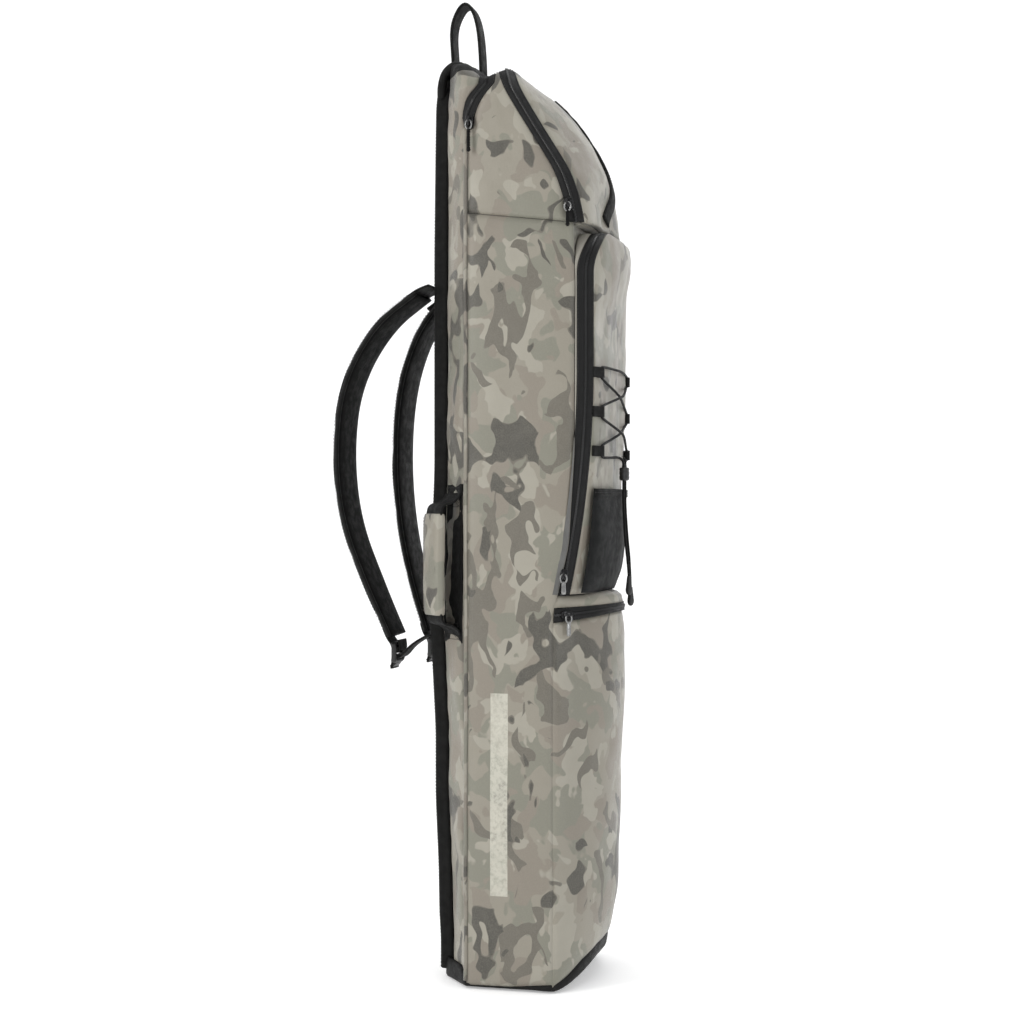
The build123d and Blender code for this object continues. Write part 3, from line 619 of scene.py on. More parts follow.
def turned(name, profile, centre, material, steps=24, squash_y=1.0):
    """A turned part about the Z axis from (radius, height) pairs."""
    verts, faces = [], []
    for r, z in profile:
        for k in range(steps):
            a = 2 * pi * k / steps
            verts.append((centre[0] + r * cos(a), centre[1] + r * sin(a) * squash_y, centre[2] + z))
    faces = ring_faces(len(profile), steps, 0)
    piece = add_mesh(name, verts, faces, [material])
    tidy_normals(piece)
    return piece


def in_plane_normals(path, up=(1, 0, 0), flip=1):
    """For a path in a plane, the normals that lie in the plane."""
    t = np.gradient(np.asarray(path, float), axis=0)
    n = np.cross(np.broadcast_to(np.array(up, float), t.shape), t) * flip
    return n / np.maximum(np.linalg.norm(n, axis=1, keepdims=True), 1e-9)


def bow(half, y_edge, y_front, u):
    """X and Y on a bowed front, u from -1 at the near side to 1 at the far side."""
    sag = y_edge - y_front
    radius = (half ** 2 + sag ** 2) / (2 * sag)
    whole = np.arctan2(half, radius - sag)
    return radius * np.sin(whole * u), y_front + radius - radius * np.cos(whole * u)


def band(edge_a, edge_b, steps):
    """A grid of points between two lines."""
    t = np.linspace(0, 1, steps)[None, :, None]
    return edge_a[:, None] * (1 - t) + edge_b[:, None] * t


# ---- Outlines of the bag ----------------------------------------------------------------------
def crown(y):
    return through(y, [-130, 2, 10, 26, 34, 50, 62, 79, 130],
                   [967, 967, 965.5, 957, 957, 972, 980, 976, 976], 3)


def on_crown(x, y, z):
    """A point of the bag's arched shell: the sides step in at the back and the top dips."""
    half = np.interp(y, [-200, SEAM_Y, DOOR_Y, 200], [HALF, HALF, BACK_X, BACK_X])
    x = np.sign(x) * soft_min(np.abs(x), half, 2.0)
    return np.stack(np.broadcast_arrays(x, y, soft_min(z, crown(y), 3.0)), axis=-1)


def arch_line(half, top, radius, z_near, z_far, step):
    """(x, z) along a round-topped outline, from the near side's foot to the far side's."""
    corner = [(-half + radius - radius * cos(a), top - radius + radius * sin(a))
              for a in np.linspace(0, pi / 2, 16)]
    points = [(-half, z_near)] + corner + [(-x, z) for x, z in reversed(corner)] + [(half, z_far)]
    line = evenly([(x, 0, z) for x, z in points], step)
    return line[:, 0], line[:, 2]


def y_main(z):
    """Depth of the main zip at one height."""
    z = np.asarray(z, float)
    rise = np.clip(z - ARC_Z, 0, sqrt(ARC_R ** 2 - (MAIN_TOP_Y - ARC_Y) ** 2))
    return ARC_Y + np.sqrt(ARC_R ** 2 - rise ** 2)


HOOD = [(800, -71, -92), (829, -65, -88.5), (854, -56, -83.5), (877, -42, -75.5), (901, -27, -62),
        (926, -12, -44.5), (947, 0, -23), (966, 7, 2), (990, 15, 14)]
SIDE_EDGE = [(-46, 0), (-46, 392), (-50, 412), (-62, 465), (-68, 560), (-69, 737), (-67, 812)]
POCKET = [(404, -82), (414, -85), (440, -89), (470, -92.5), (525, -92), (600, -91), (690, -91.5),
          (725, -97), (760, -102.5), (793, -100)]
LOWER = [(0, -76), (14, -79), (32, -85), (90, -94), (210, -96), (300, -102), (382, -102), (404, -102)]


def y_hood(z):
    return through(z, [s[0] for s in HOOD], [s[1] for s in HOOD], 10)


def y_hood_front(z):
    return through(z, [s[0] for s in HOOD], [s[2] for s in HOOD], 10)


def edge_y(z):
    return through(z, [p[1] for p in SIDE_EDGE], [p[0] for p in SIDE_EDGE], 8)


def zip_y(z):
    z = np.asarray(z, float)
    return -80 + np.maximum(0, 650 - z) ** 2 / 2200 - 8.5 * smooth_step(z, 748, 795)


def hood_seam(y):
    return 800 + 14 * (np.asarray(y, float) + 67) / 115


def lean(p):
    """The back edge isn't quite straight: it moves in and out with height."""
    heights = [0, 48, 61, 121, 194, 266, 364, 386, 430, 544, 777, 896, 940, 990]
    moves = [-12, -12, -10, -8.5, -4, -4, 3, 6, 4, -2, -2, -4, -5, -5]
    q = np.array(p, float)
    q[..., 1] += through(q[..., 2], heights, moves, 12) * np.clip((q[..., 1] - SEAM_Y) / 44, 0, 1)
    return q


def zip_band(name, centre, edge_a, edge_b, body_a, body_b, nodes, away=CENTRE, teeth=True, blends=None,
             across=6, pitch=1.6):
    """Both tapes of a zip with a lip along the middle, tooth ribs and a stitch row on each."""
    made = []
    for tag, edge, body, node, blend_at in (("a", edge_a, body_a, nodes[0], blends and blends[0]),
                                            ("b", edge_b, body_b, nodes[1], blends and blends[1])):
        if edge is None:
            continue
        p = band(centre, edge, across)
        piece = shell(f"{name}_tape_{tag}", p, TAPE, LINING, thick=1.6, puff=0.5, reach=2.0, ruffle=0.18,
                      seed=3, away=away, sides="vV", sink=0.35, fold=(14, 14, 22))
        place(piece, body, blend_at, "zip_tape", node and (node,))
        made.append(p)
        row = p[:, -2] * 0.6 + p[:, -1] * 0.4
        stitch = stitches(f"{name}_stitch_{tag}", row[2:-2], nearest_normals(row[2:-2], p, away),
                          BLACK_THREAD, None, 3.4, 2.4, 0.35)
        place(stitch, body, blend_at, "zip_tape")
    if teeth:
        line = evenly(centre, pitch)
        n = nearest_normals(line, made[0], away)
        verts, faces = [], []
        t, side, n = path_frames(line, n)
        for k, (q, ti, si, ni) in enumerate(zip(line, t, side, n)):
            first = len(verts)
            shift = 0.25 if k % 2 else -0.25
            for along in (-0.55, 0.55):
                for s, h in ((-1.5 + shift, 0.1), (-1.0 + shift, 0.95), (1.0 + shift, 0.95),
                             (1.5 + shift, 0.1)):
                    verts.append(q + ti * along + si * s + ni * h)
            faces += ring_faces(2, 4, first)
        piece = add_mesh(f"{name}_teeth", verts, faces, [TEETH], smooth=False)
        tidy_normals(piece)
        place(piece, body_a, blends and blends[0], "zip_tape")
    return made


def place(piece, body, blend_at=None, slot=None, nodes=None):
    """Ride one body, or with blend_at, which is (bodies, start, end), keep the piece unparented with its
    placement baked.
    """
    if blend_at:
        return bend(piece, blend_at[0], blend_at[1], blend_at[2], slot, nodes or ())
    return dress(piece, body, nodes or ())


def welt(name, path, normal, width, thick, material, body, slot="black_trim", nodes=(), ribs=0.25,
         blend_at=None, thread=True):
    """A strip of bound tape along a seam, with a stitch row."""
    piece = sweep(name, path, normal, round_section(width, thick, thick * 0.45, ribs), material)
    place(piece, body, blend_at, slot, nodes)
    if thread:
        normals = np.broadcast_to(np.asarray(normal, float), np.shape(path))
        _, _, n = path_frames(path, normals)
        row = np.asarray(path) + n * thick
        stitch = stitches(name + "_stitch", row, n, BLACK_THREAD, None, 3.6, 2.5, 0.1)
        place(stitch, body, blend_at, slot)
    return piece


# ---- Sides of the bag -------------------------------------------------------------------------
U_STEP = 5.0
side_z = np.linspace(0, 1, 150)
side_y = np.linspace(0, 1, 22)
SIDE_FOLD = (44, 44, 95)
side_grids = {}
for side, sign in (("near", -1), ("far", 1)):
    back_y = 47.2 if side == "near" else SEAM_Y - ZIP_HALF + 0.2
    zz, tt = np.meshgrid(side_z, side_y, indexing="ij")
    y = edge_y(zz * 800) * (1 - tt) + back_y * tt
    low = np.interp(y, [-46, 0, 48], [8, 3.5, 2.5])
    z = low + (hood_seam(y) - 0.3 - low) * zz
    y = edge_y(z) * (1 - tt) + back_y * tt
    p = np.stack([np.full_like(y, sign * HALF), y, z], axis=-1)
    side_grids[side] = p
    piece = shell(f"side_panel_{side}_cloth", p, CAMO_SIDE, LINING, thick=4.6, puff=3.4, reach=12, ruffle=1.2,
                  seed=11 + sign, fold=SIDE_FOLD, sides="uvUV")
    dress(piece, "main_body", (f"side_panel_{side}",))

# ---- Hood sides, hood zip, main zip ------------------------------------------------------------
ox, oz = arch_line(HALF, ARCH_TOP, ARCH_R, 800, 800, U_STEP)
t = np.linspace(0, 1, 16)[None, :]
y_front, y_back = y_hood(oz) + ZIP_HALF, y_main(oz) - ZIP_HALF
near_low = (ox < 0) & (oz < ARC_Z)
y_back = np.where(near_low, np.minimum(y_main(oz) - 0.8, 47.2 - np.clip(oz - 893, 0, 8)), y_back)
y = y_front[:, None] * (1 - t) + y_back[:, None] * t
z = np.where(oz[:, None] < 935, hood_seam(y) + 0.3 + (oz[:, None] - 800) / 135 * (934.7 - hood_seam(y)),
             oz[:, None])
p = on_crown(ox[:, None], y, z)
hood_side = shell("hood_sides_cloth", p, CAMO, LINING, thick=4.5, puff=2.4, reach=9, ruffle=0.9, seed=21,
                  fold=(30, 30, 34))
dress(hood_side, "main_body", ("hood_sides",))

# The hood's zip. Its front tape belongs to the flap and lies where the side turns to the front.
row_z = np.concatenate([np.linspace(800.2, 935, 30), 935 + 32 * np.sin(np.linspace(0.06, pi / 2, 16))])
half_at = np.where(row_z > 935, HALF - ARCH_R + np.sqrt(np.maximum(0, ARCH_R ** 2 - (row_z - 935) ** 2)),
                   HALF)
top_u = np.linspace(-1, 1, 33)
flap_in = 6.6
flap_half = half_at - flap_in
flap_edge_y = np.minimum(y_hood(row_z) - 8.0, 5.5 + 0 * row_z)


def flap_point(k, u):
    """A point of the hood flap's face: row k, u across."""
    x, y = bow(flap_half[k], flap_edge_y[k], np.minimum(y_hood_front(row_z[k]), flap_edge_y[k] - 1.0), u)
    y = y + (6 - y) * np.exp(-(967 - row_z[k]) / 1.7)
    dent = 8.5 * np.exp(-((x + 15) / 35) ** 2 - ((row_z[k] - 812) / 25) ** 2)
    return np.stack([x, y + dent, np.full_like(x, row_z[k])], axis=-1)


flap_grid = np.array([flap_point(k, top_u) for k in range(len(row_z))])
inner = np.concatenate([flap_grid[:, 0], flap_grid[-1, 1:-1], flap_grid[::-1, -1]])
edge_x = np.concatenate([-half_at, top_u[1:-1] * half_at[-1], half_at[::-1]])
edge_z = np.concatenate([row_z, np.full(len(top_u) - 2, row_z[-1] + 2), row_z[::-1]])
zip_line = on_crown(edge_x, y_hood(edge_z), edge_z)
outer = on_crown(edge_x, y_hood(edge_z) + ZIP_HALF, edge_z)
HOOD_BEND = (("main_body", "hood_flap"), (0, -94, HINGE_Z - 3), (0, -94, HINGE_Z + 12))
zip_band("hood_zip", zip_line, inner, outer, "hood_flap", "main_body",
         ("hood_flap_zip", "hood_zip_frame"), blends=(HOOD_BEND, None))
flap = shell("hood_flap_cloth", flap_grid, CAMO, LINING, thick=4.5, puff=2.2, reach=8, ruffle=1.0, seed=31,
             sides="vVU", fold=(32, 32, 30))
bend(flap, *HOOD_BEND, "camo", ("hood_flap_panel",))

# Taped seam down the hood's front.
tape_route = rounded([(29, 0, 949), (36, 0, 925), (39.5, 0, 900), (38, 0, 878), (31, 0, 860), (16, 0, 838),
                      (2, 0, 824), (-7, 0, 811)], 4)


def onto(grid, x, z, out=0.0, away=CENTRE):
    """Points of a front panel's grid that lie at given x and z."""
    cells = grid.reshape(-1, 3)
    n = grid_normals(grid, away).reshape(-1, 3)
    points, normals = [], []
    for xi, zi in zip(x, z):
        d = (cells[:, 0] - xi) ** 2 + (cells[:, 2] - zi) ** 2
        near = np.argsort(d)[:4]
        w = 1 / (d[near] + 0.05)
        w /= w.sum()
        normal = (n[near] * w[:, None]).sum(0)
        normal /= np.linalg.norm(normal)
        y = (cells[near, 1] * w).sum()
        points.append(np.array([xi, y, zi]) + normal * out)
        normals.append(normal)
    return np.array(points), np.array(normals)


tape_path, tape_normal = onto(flap_grid, tape_route[:, 0] - 5, tape_route[:, 2], 1.0)
tape_path = evenly(tape_path, 4)
tape_normal = nearest_normals(tape_path, flap_grid)
welt("hood_front_tape", tape_path, tape_normal, 18, 4.6, BLACK, None, nodes=("hood_front_tape",),
     blend_at=HOOD_BEND)

# Sill under the hood flap and the cloth yoke behind the upper pocket's top, both in the darker copy of the
# print as painted shade.
u = np.linspace(-1, 1, 33)
rows = []
for z, back, shrink in ((801, 1.0, 2), (799.4, 2.5, 2.5), (798.4, 6, 3), (797.6, 12, 4), (797.2, 21, 6)):
    x, y = bow(HALF - 1.2 - shrink, -68.5 + back * 0.2, -91 + back, u)
    dent = 8.5 * np.exp(-((x + 15) / 35) ** 2)
    rows.append(np.stack([x, y + dent * max(0, 1 - back / 20), np.full_like(x, z)], axis=-1))
sill = shell("hood_sill", np.array(rows), CAMO_PAINTED_SHADE, LINING, thick=1.6, puff=0.3, reach=3, ruffle=0.2,
             seed=41, sides="uU")
dress(sill, "main_body")
rows = [[(x, -67.5 + 2.5 * (x / HALF) ** 2 - 3.0 * (z > 797), z) for x in np.linspace(-94, 94, 30)]
        for z in np.linspace(742, 800, 14)]
yoke = shell("front_yoke", np.array(rows), CAMO_PAINTED_SHADE, LINING, thick=2.5, puff=1.2, reach=6, ruffle=0.8,
             seed=43)
dress(yoke, "main_body")

# Main zip: over the top and down the far side; the door's half turns with the door.
near_end = np.argmax(oz >= ARC_Z + 1)
foot_z = 14
far_z = np.arange(795, foot_z, -5.0)
line_x = np.concatenate([ox[near_end:], np.full(len(far_z), float(HALF))])
line_z = np.concatenate([oz[near_end:], far_z])
taper = np.clip((line_z - ARC_Z) / 16, 0.05, 1) * (line_x < 0) + (line_x >= 0)
y0 = y_main(line_z) + 0.3
zip_mid = on_crown(line_x, y0, line_z)
zip_fore = on_crown(line_x, y0 - ZIP_HALF * taper, line_z)
zip_aft = lean(on_crown(line_x, y0 + ZIP_HALF * taper, line_z))
zip_band("main_zip", zip_mid, zip_fore, None, "main_body", None, ("main_zip_front", None))
zip_band("main_zip_door", zip_mid + [0, 0.5, 0], zip_aft, None, "back_door", None, ("main_zip_back", None))

# Near seam: the strip that the door turns on, in the darker copy of the print as a painted shadow line.
DOOR_BEND = (("main_body", "back_door"), (-HALF, SEAM_Y - 1.2, 457), (-HALF, SEAM_Y + 2.2, 457))
seam_z = np.linspace(7, ARC_Z + 2, 190)
seam_path = np.stack([np.full_like(seam_z, -HALF - 0.6), np.full_like(seam_z, 48.6), seam_z], axis=-1)
seam_path[:, 1] += 0.5 * soft_noise(seam_path, (30, 30, 38), 51)
seam_strip = sweep("near_seam", seam_path, (-0.9, 0.43, 0),
                   [(-2.4, -1.8), (2.4, -1.8), (2.0, -0.2), (0.8, 0.4),
                                                         (-0.8, 0.4), (-2.0, -0.2)], CAMO_PAINTED_SHADE)
bend(seam_strip, *DOOR_BEND, "camo", ("seam_hinge",))

# ---- Back door --------------------------------------------------------------------------------
bx, bz = arch_line(HALF, ARCH_TOP, ARCH_R, 14.8, 14.8, U_STEP)
y_a = np.where((bx < 0) & (bz < ARC_Z), 49.8, y_main(bz) + ZIP_HALF + 0.6)
lift = np.clip((bz - ARC_Z) / 16, 0, 1)
y_a = np.where((bx < 0) & (bz >= ARC_Z), y_main(bz) + 1.4 + (ZIP_HALF - 0.8) * lift, y_a)
t = np.linspace(0, 1, 13)[None, :]
y = y_a[:, None] * (1 - t) + (DOOR_Y + 0.3) * t
door_grid = lean(on_crown(bx[:, None], y, bz[:, None]))
door = shell("door_cloth", door_grid, CAMO, LINING, thick=4.0, puff=3.4, reach=6, ruffle=2.3, seed=61,
             fold=(30, 30, 42))
door.data.materials.append(BLACK)
rows_at, columns_at = door_grid.shape[:2]
for k, polygon in enumerate(door.data.polygons):
    cell = k if k < (rows_at - 1) * (columns_at - 1) else -1
    if cell >= 0 and bz[cell // (columns_at - 1)] > 961 and cell % (columns_at - 1) >= 1:
        polygon.material_index = 2
dress(door, "back_door", ("corner_strip_near", "back_crown", "corner_strip_far"))

# Binding round the back pad: a rolled black edge over the padded rim.
pad_x, pad_z = arch_line(BACK_X - BIND / 2, PAD_TOP - BIND / 2 + 2, ARCH_R - BIND / 2, 11, 11, 4.0)
foot = np.linspace(BACK_X - BIND / 2, -BACK_X + BIND / 2, 30)[1:-1]
rim = np.stack([np.concatenate([pad_x, foot]), np.full(len(pad_x) + len(foot), 80.0),
                np.concatenate([pad_z, np.full(len(foot), 11.0)])], axis=-1)
rim = lean(rim)
rim_section = [(-3.2, 0), (-3.4, 3), (-3.6, 8), (-3.3, 12), (-1.8, 14.6), (0, 15.2), (1.8, 14.6), (3.0, 13),
               (3.2, 9),
               (3.2, 4), (3.2, 0)]
binding = ring("back_binding_roll", rim, (0, 1, 0), rim_section, BLACK)
dress(binding, "back_door", ("back_binding",))
row = rim + [0, 15.3, 0]
stitches("binding_stitch", row, (0, 1, 0), BLACK_THREAD, "back_door", 3.6, 2.5, 0.1)


def filled(half, top, radius, low, y, rows=100, columns=18):
    """A grid that fills a round-topped outline."""
    points = []
    for z in np.linspace(low, top - 0.5, rows):
        over = max(0, z - (top - radius))
        edge = half - radius + sqrt(max(0.0, radius ** 2 - over ** 2))
        points.append([(edge * k, y, z) for k in np.linspace(-1, 1, columns)])
    return np.array(points)


pad_grid = lean(filled(BACK_X - BIND, PAD_TOP - BIND, ARCH_R - BIND, 24, 84.0))
pad = shell("back_pad_foam", pad_grid, MESH, LINING, thick=4.5, puff=6.5, reach=8, ruffle=0.3, seed=71,
            away=(0, 40, 480), fold=(30, 30, 60))
dress(pad, "back_door", ("back_pad",))
mesh_grid = lean(filled(BACK_X - BIND, PAD_TOP - BIND, ARCH_R - BIND, 24, 90.5, 170, 30))
channel = 1.6 * np.exp(-((np.mod(mesh_grid[..., 2], 118) - 59) / 3.2) ** 2)
mesh_grid[..., 1] -= channel
mesh_face = shell("back_mesh_cloth", mesh_grid, MESH, MESH, thick=1.2, puff=3.2, reach=9, ruffle=0.7, seed=72,
                  away=(0, 40, 480), fold=(34, 34, 50))
dress(mesh_face, "back_door", ("back_mesh",))
lining_grid = lean(filled(BACK_X - 0.5, 899, 1, 16, 77.5, 90, 16))
back_lining = shell("back_lining_cloth", lining_grid, LINING, None, thick=3.5, puff=0.4, reach=6, ruffle=0.6,
                    seed=73, away=(0, 0, 480))
dress(back_lining, "back_door", ("back_lining",))

# The crown's black edging runs over the arch, under the cap that carries the haul loop.
rows = []
for y in np.concatenate([np.linspace(50, 60, 5), np.linspace(62, 84, 8), [87, 90, 92.5]]):
    x = np.linspace(-60, 60, 60)
    arch_z = np.where(np.abs(x) > 50, 935 + np.sqrt(np.maximum(0, 2025 - (np.abs(x) - 50) ** 2)), 980.0)
    z = soft_min(arch_z, crown(np.full_like(x, y)), 3.0) + 1.6 - 7 * max(0, y - 84) ** 2 / 72
    rows.append(np.stack([x * np.interp(y, [79, 92.5], [1, 0.85]), np.full_like(x, y), z], axis=-1))
edging = shell("crown_edging", lean(np.array(rows)), BLACK, BLACK, thick=1.6, puff=1.6, reach=3, ruffle=0.6,
               seed=74, away=(0, 66, 900), fold=(18, 18, 18))
dress(edging, "back_door")
rolls = []
for sign in (-1, 1):
    roll = rounded([(sign * 52, 91, 944), (sign * 53, 91, 958), (sign * 56, 87, 970), (sign * 60, 78, 976.5),
                    (sign * 63, 68, 978), (sign * 64, 58, 973), (sign * 64, 50, 966), (sign * 63, 43, 959)],
                    3)
    rolls.append(sweep("roll", lean(roll), (sign * 0.5, 0, 0.86), [(5.2 * a, 4.6 * b) for a, b in
                                                               circle_section(1.0, 14)], BLACK))
dress(join("crown_rolled_edge", rolls), "back_door")

# Reinforcing cap over the crown, with two tabs for the haul loop.
cap_route = rounded([(0, 49, 973), (0, 54, 978), (0, 62, 983), (0, 78, 982), (0, 88, 981.5), (0, 95.5, 974),
                     (0, 97, 955), (0, 96.5, 930)], 3.0)
cap_u = np.linspace(-1, 1, 23)
rows = []
for q in cap_route:
    half = 40.0
    rows.append([(half * k, q[1], q[2] + 0.4 - 0.8 * k * k) for k in cap_u])
cap = shell("top_cap_cloth", lean(np.array(rows)), BLACK, BLACK, thick=1.6, puff=1.0, reach=2.5, ruffle=0.4,
            seed=75, away=(0, 66, 940), fold=(16, 16, 16))
dress(cap, "back_door", ("top_cap",))
tabs = []
for y, z in ((54, 975), (85, 978)):
    path = evenly([(0, y, z), (0, y, 989)], 2)
    tabs.append(sweep("tab", path, (0, 1, 0), [(a, b - 1.4) for a, b in round_section(26, 2.8, 1.2)], BLACK))
dress(join("haul_loop_tabs", tabs), "back_door", ("loop_tabs",))
loop_route = rounded([(0, 54, 983), (0, 54.5, 1000), (0, 57, 1030), (0, 63, 1051), (0, 72, 1060),
                      (0, 81, 1051),
                      (0, 88, 1032), (0, 86, 1002), (0, 85, 983)], 2.5)
loop_normal = in_plane_normals(loop_route, (1, 0, 0), 1)
loop_section = [(a, b - 1.7) for a, b in round_section(25, 3.4, 1.3, 0.35)]
loop = sweep("haul_loop_webbing", loop_route, loop_normal, loop_section, BLACK)
bend(loop, ("back_door", "haul_loop"), (0, 70, 984), (0, 70, 1004), "black_trim", ("haul_loop",))

# ---- Upper pocket -----------------------------------------------------------------------------
def on_pocket(x, y, z):
    """A point of the pocket's wall, which tapers in towards its face."""
    start, end = edge_y(z) - 1.8, zip_y(z) - 7
    t = np.clip((start - y) / (start - end), 0, 1)
    return np.stack(np.broadcast_arrays(x * (1 - 6 * t / HALF), y, z), axis=-1)


row_z = np.concatenate([np.linspace(POCKET_LOW + 1, POCKET_TOP - POCKET_R, 84),
                        POCKET_TOP - POCKET_R + POCKET_R * np.sin(np.linspace(0.09, pi / 2, 14))])
over = np.maximum(0, row_z - (POCKET_TOP - POCKET_R))
half_at = HALF - POCKET_R + np.sqrt(np.maximum(0, POCKET_R ** 2 - over ** 2))
face_half = half_at * 88 / 95
corner_y = zip_y(row_z) - 8
pocket_front = through(row_z, [s[0] for s in POCKET], [s[1] for s in POCKET], 12)
sag = 2.6 * np.exp(-((row_z - 700) / 45) ** 2) - 1.5 * np.exp(-((row_z - 768) / 26) ** 2)
face_u = np.linspace(-1, 1, 37)
face_rows = []
for k in range(len(row_z)):
    x, y = bow(face_half[k], corner_y[k], min(pocket_front[k], corner_y[k] - 1), face_u)
    y = y + (corner_y[k] - y) * np.exp(-(POCKET_TOP - row_z[k]) / 2.0) + sag[k] * (1 - face_u ** 2)
    face_rows.append(np.stack([x, y, np.full_like(x, row_z[k])], axis=-1))
face_grid = np.array(face_rows)
POCKET_BEND = (("main_body", "pocket_flap"), (0, -85, POCKET_LOW - 1), (0, -85, POCKET_LOW + 9))
face = shell("pocket_face_cloth", face_grid, CAMO, LINING, thick=2.6, puff=2.4, reach=8, ruffle=1.4, seed=81,
             sides="uvVU", fold=(30, 30, 46))
bend(face, *POCKET_BEND, "camo", ("pocket_flap_panel",))
inner = np.concatenate([face_grid[:, 0], face_grid[-1, 1:-1], face_grid[::-1, -1]])
edge_x = np.concatenate([-half_at, face_u[1:-1] * half_at[-1], half_at[::-1]])
edge_z = np.concatenate([row_z, np.full(len(face_u) - 2, row_z[-1]), row_z[::-1]])
zip_line = on_pocket(edge_x, zip_y(edge_z), edge_z)
outer = on_pocket(edge_x, zip_y(edge_z) + ZIP_HALF, edge_z)
zip_band("pocket_zip", zip_line, inner, outer, "pocket_flap", "main_body",
         ("pocket_flap_zip", "pocket_zip_frame"), blends=(POCKET_BEND, None))
root = on_pocket(edge_x, edge_y(edge_z) - 1.0, edge_z)
gusset = shell("pocket_gusset_cloth", band(outer, root, 6), GUSSET, LINING, thick=2.0, puff=0.8, reach=2,
               ruffle=0.5, seed=83, fold=(16, 16, 26))
dress(gusset, "main_body", ("pocket_gusset",))

# Stretch pocket, open at its top.
rows = []
for z in np.concatenate([np.linspace(415, 436, 6), np.linspace(440, 524, 22)]):
    x = np.linspace(-83, 83, 36)
    edge = np.interp(z, row_z, corner_y)
    middle = np.interp(z, row_z, pocket_front)
    _, y = bow(89, edge, middle, np.arcsin(np.clip(x / 89, -1, 1)) / (pi / 2))
    out = 2.2 + (4.6 * smooth_step(z, 415, 440)) * (1 - (x / 83.1) ** 2) ** 0.6
    rows.append(np.stack([x, y - out, np.full_like(x, z)], axis=-1))
stretch_grid = np.array(rows)
stretch = shell("stretch_pocket_cloth", stretch_grid, STRETCH, STRETCH, thick=1.2, puff=0.8, reach=5,
                ruffle=0.5,
                seed=85, sides="uvV", fold=(24, 24, 30))
bend(stretch, *POCKET_BEND, "stretch", ("stretch_pocket",))
hem = stretch_grid[-2] + [0, -0.6, 0]
welt("stretch_hem", hem, (0, -1, 0), 8, 1.3, BLACK, "pocket_flap", "black_trim")

# Webbing loops for the lacing, at the zip's edge.
LOOP_HEIGHTS = (563, 604, 645)
loops = []
for sign in (-1, 1):
    for z in LOOP_HEIGHTS:
        path = [(sign * 88, -86.6, z), (sign * 80, -89.4, z), (sign * 74.5, -90.2, z),
                (sign * 71.2, -91.6, z),
                (sign * 70.6, -93.4, z), (sign * 72, -95.7, z), (sign * 74.6, -96.0, z),
                (sign * 78, -93.4, z),
                (sign * 83, -90.6, z), (sign * 89, -87.8, z)]
        line = rounded(path, 1.2, 2)
        loops.append(sweep("loop", line, in_plane_normals(line, (0, 0, 1)),
                           [(a, b - 0.6) for a, b in round_section(11, 1.2, 0.5)], BLACK))
dress(join("lace_loop_webbing", loops), "pocket_flap", ("lace_loops",))

# ---- Lower pocket -----------------------------------------------------------------------------
low_u = np.linspace(-1, 1, 45)


def lower_point(z, u, low_y=-46.0):
    front = np.interp(z, [s[0] for s in LOWER], [s[1] for s in LOWER])
    x, y = bow(HALF, low_y, front, u)
    return x, y


rows = []
for s in np.linspace(0, 1, 76):
    x, y = lower_point(200, low_u)
    foot = np.interp(np.abs(x), [0, 30, 60, 78, 88, 95], [43, 39, 26, 13.5, 8.5, 5.5])
    roof = 384 + 8.7 * (1 - (x / HALF) ** 2)
    z = foot + (roof - foot) * s
    front = through(z, [q[0] for q in LOWER], [q[1] for q in LOWER], 14)
    _, y = bow(HALF, -46.0, -96.0, low_u)
    y = -46 + (y + 46) * (front + 48.5) / -50.0
    rows.append(np.stack([x, y, z], axis=-1))
lower_grid = np.array(rows)
lower = shell("lower_pocket_cloth", lower_grid, CAMO, LINING, thick=2.6, puff=3.2, reach=12, ruffle=1.5,
              seed=91,
              sides="uvUV", fold=(46, 46, 60))
dress(lower, "main_body", ("lower_pocket",))


def zip_row(z_near, z_mid, drop=0.0):
    x, y = bow(HALF, -47.5, -102 + drop, low_u)
    return np.stack([x, y, z_near + (z_mid - z_near) * (1 - (x / HALF) ** 2)], axis=-1)


zip_band("lower_zip", zip_row(392, 398), zip_row(384.5, 393), zip_row(399.5, 402.5, 1.0), "main_body",
         "main_body",
         ("lower_zip_tape", None))
roof_rows = [zip_row(399.8, 402.8, 1.0), zip_row(405, 409.5, 4), zip_row(408.5, 412, 8),
             zip_row(411, 413.5, 13),
             zip_row(412.5, 414, 19)]
roof_rows[3][:, 0] *= 0.995
roof = shell("pocket_roof_cloth", np.array(roof_rows), CAMO, LINING, thick=2.2, puff=1.4, reach=4, ruffle=0.8,
             seed=95, sides="uUvV", fold=(22, 22, 22), away=(0, 0, 380))
dress(roof, "main_body", ("pocket_roof",))

# Black base, turned up a little at the front.
bow_x, bow_y = bow(HALF, -46, -80, np.linspace(-1, 1, 41))
around = [(-BACK_X, DOOR_Y), (-HALF, SEAM_Y)] + list(zip(bow_x, bow_y)) + [(HALF, SEAM_Y), (BACK_X, DOOR_Y)]
edge = evenly([(x, y, 0) for x, y in around + [around[0]]], 6)
rise = 27 * np.clip((-46 - edge[:, 1]) / 34, 0, 1) ** 1.7
top_z = np.where(edge[:, 1] < -46.5, np.interp(np.abs(edge[:, 0]), [0, 30, 60, 78, 88, 95],
                                               [45, 41, 28, 15.5, 10.5, 7]),
                 np.interp(edge[:, 1], [-46.5, 0, 47, 54, 79], [8, 3.2, 2.6, 20, 22]))
rows = []
for k in (0.02, 0.3, 0.6, 0.85, 0.95, 0.985):
    q = edge * [k, k, 1] + [0, 10 * (1 - k), 0]
    q[:, 2] = 27 * np.clip((-46 - q[:, 1]) / 34, 0, 1) ** 1.7 + 1.3
    rows.append(q)
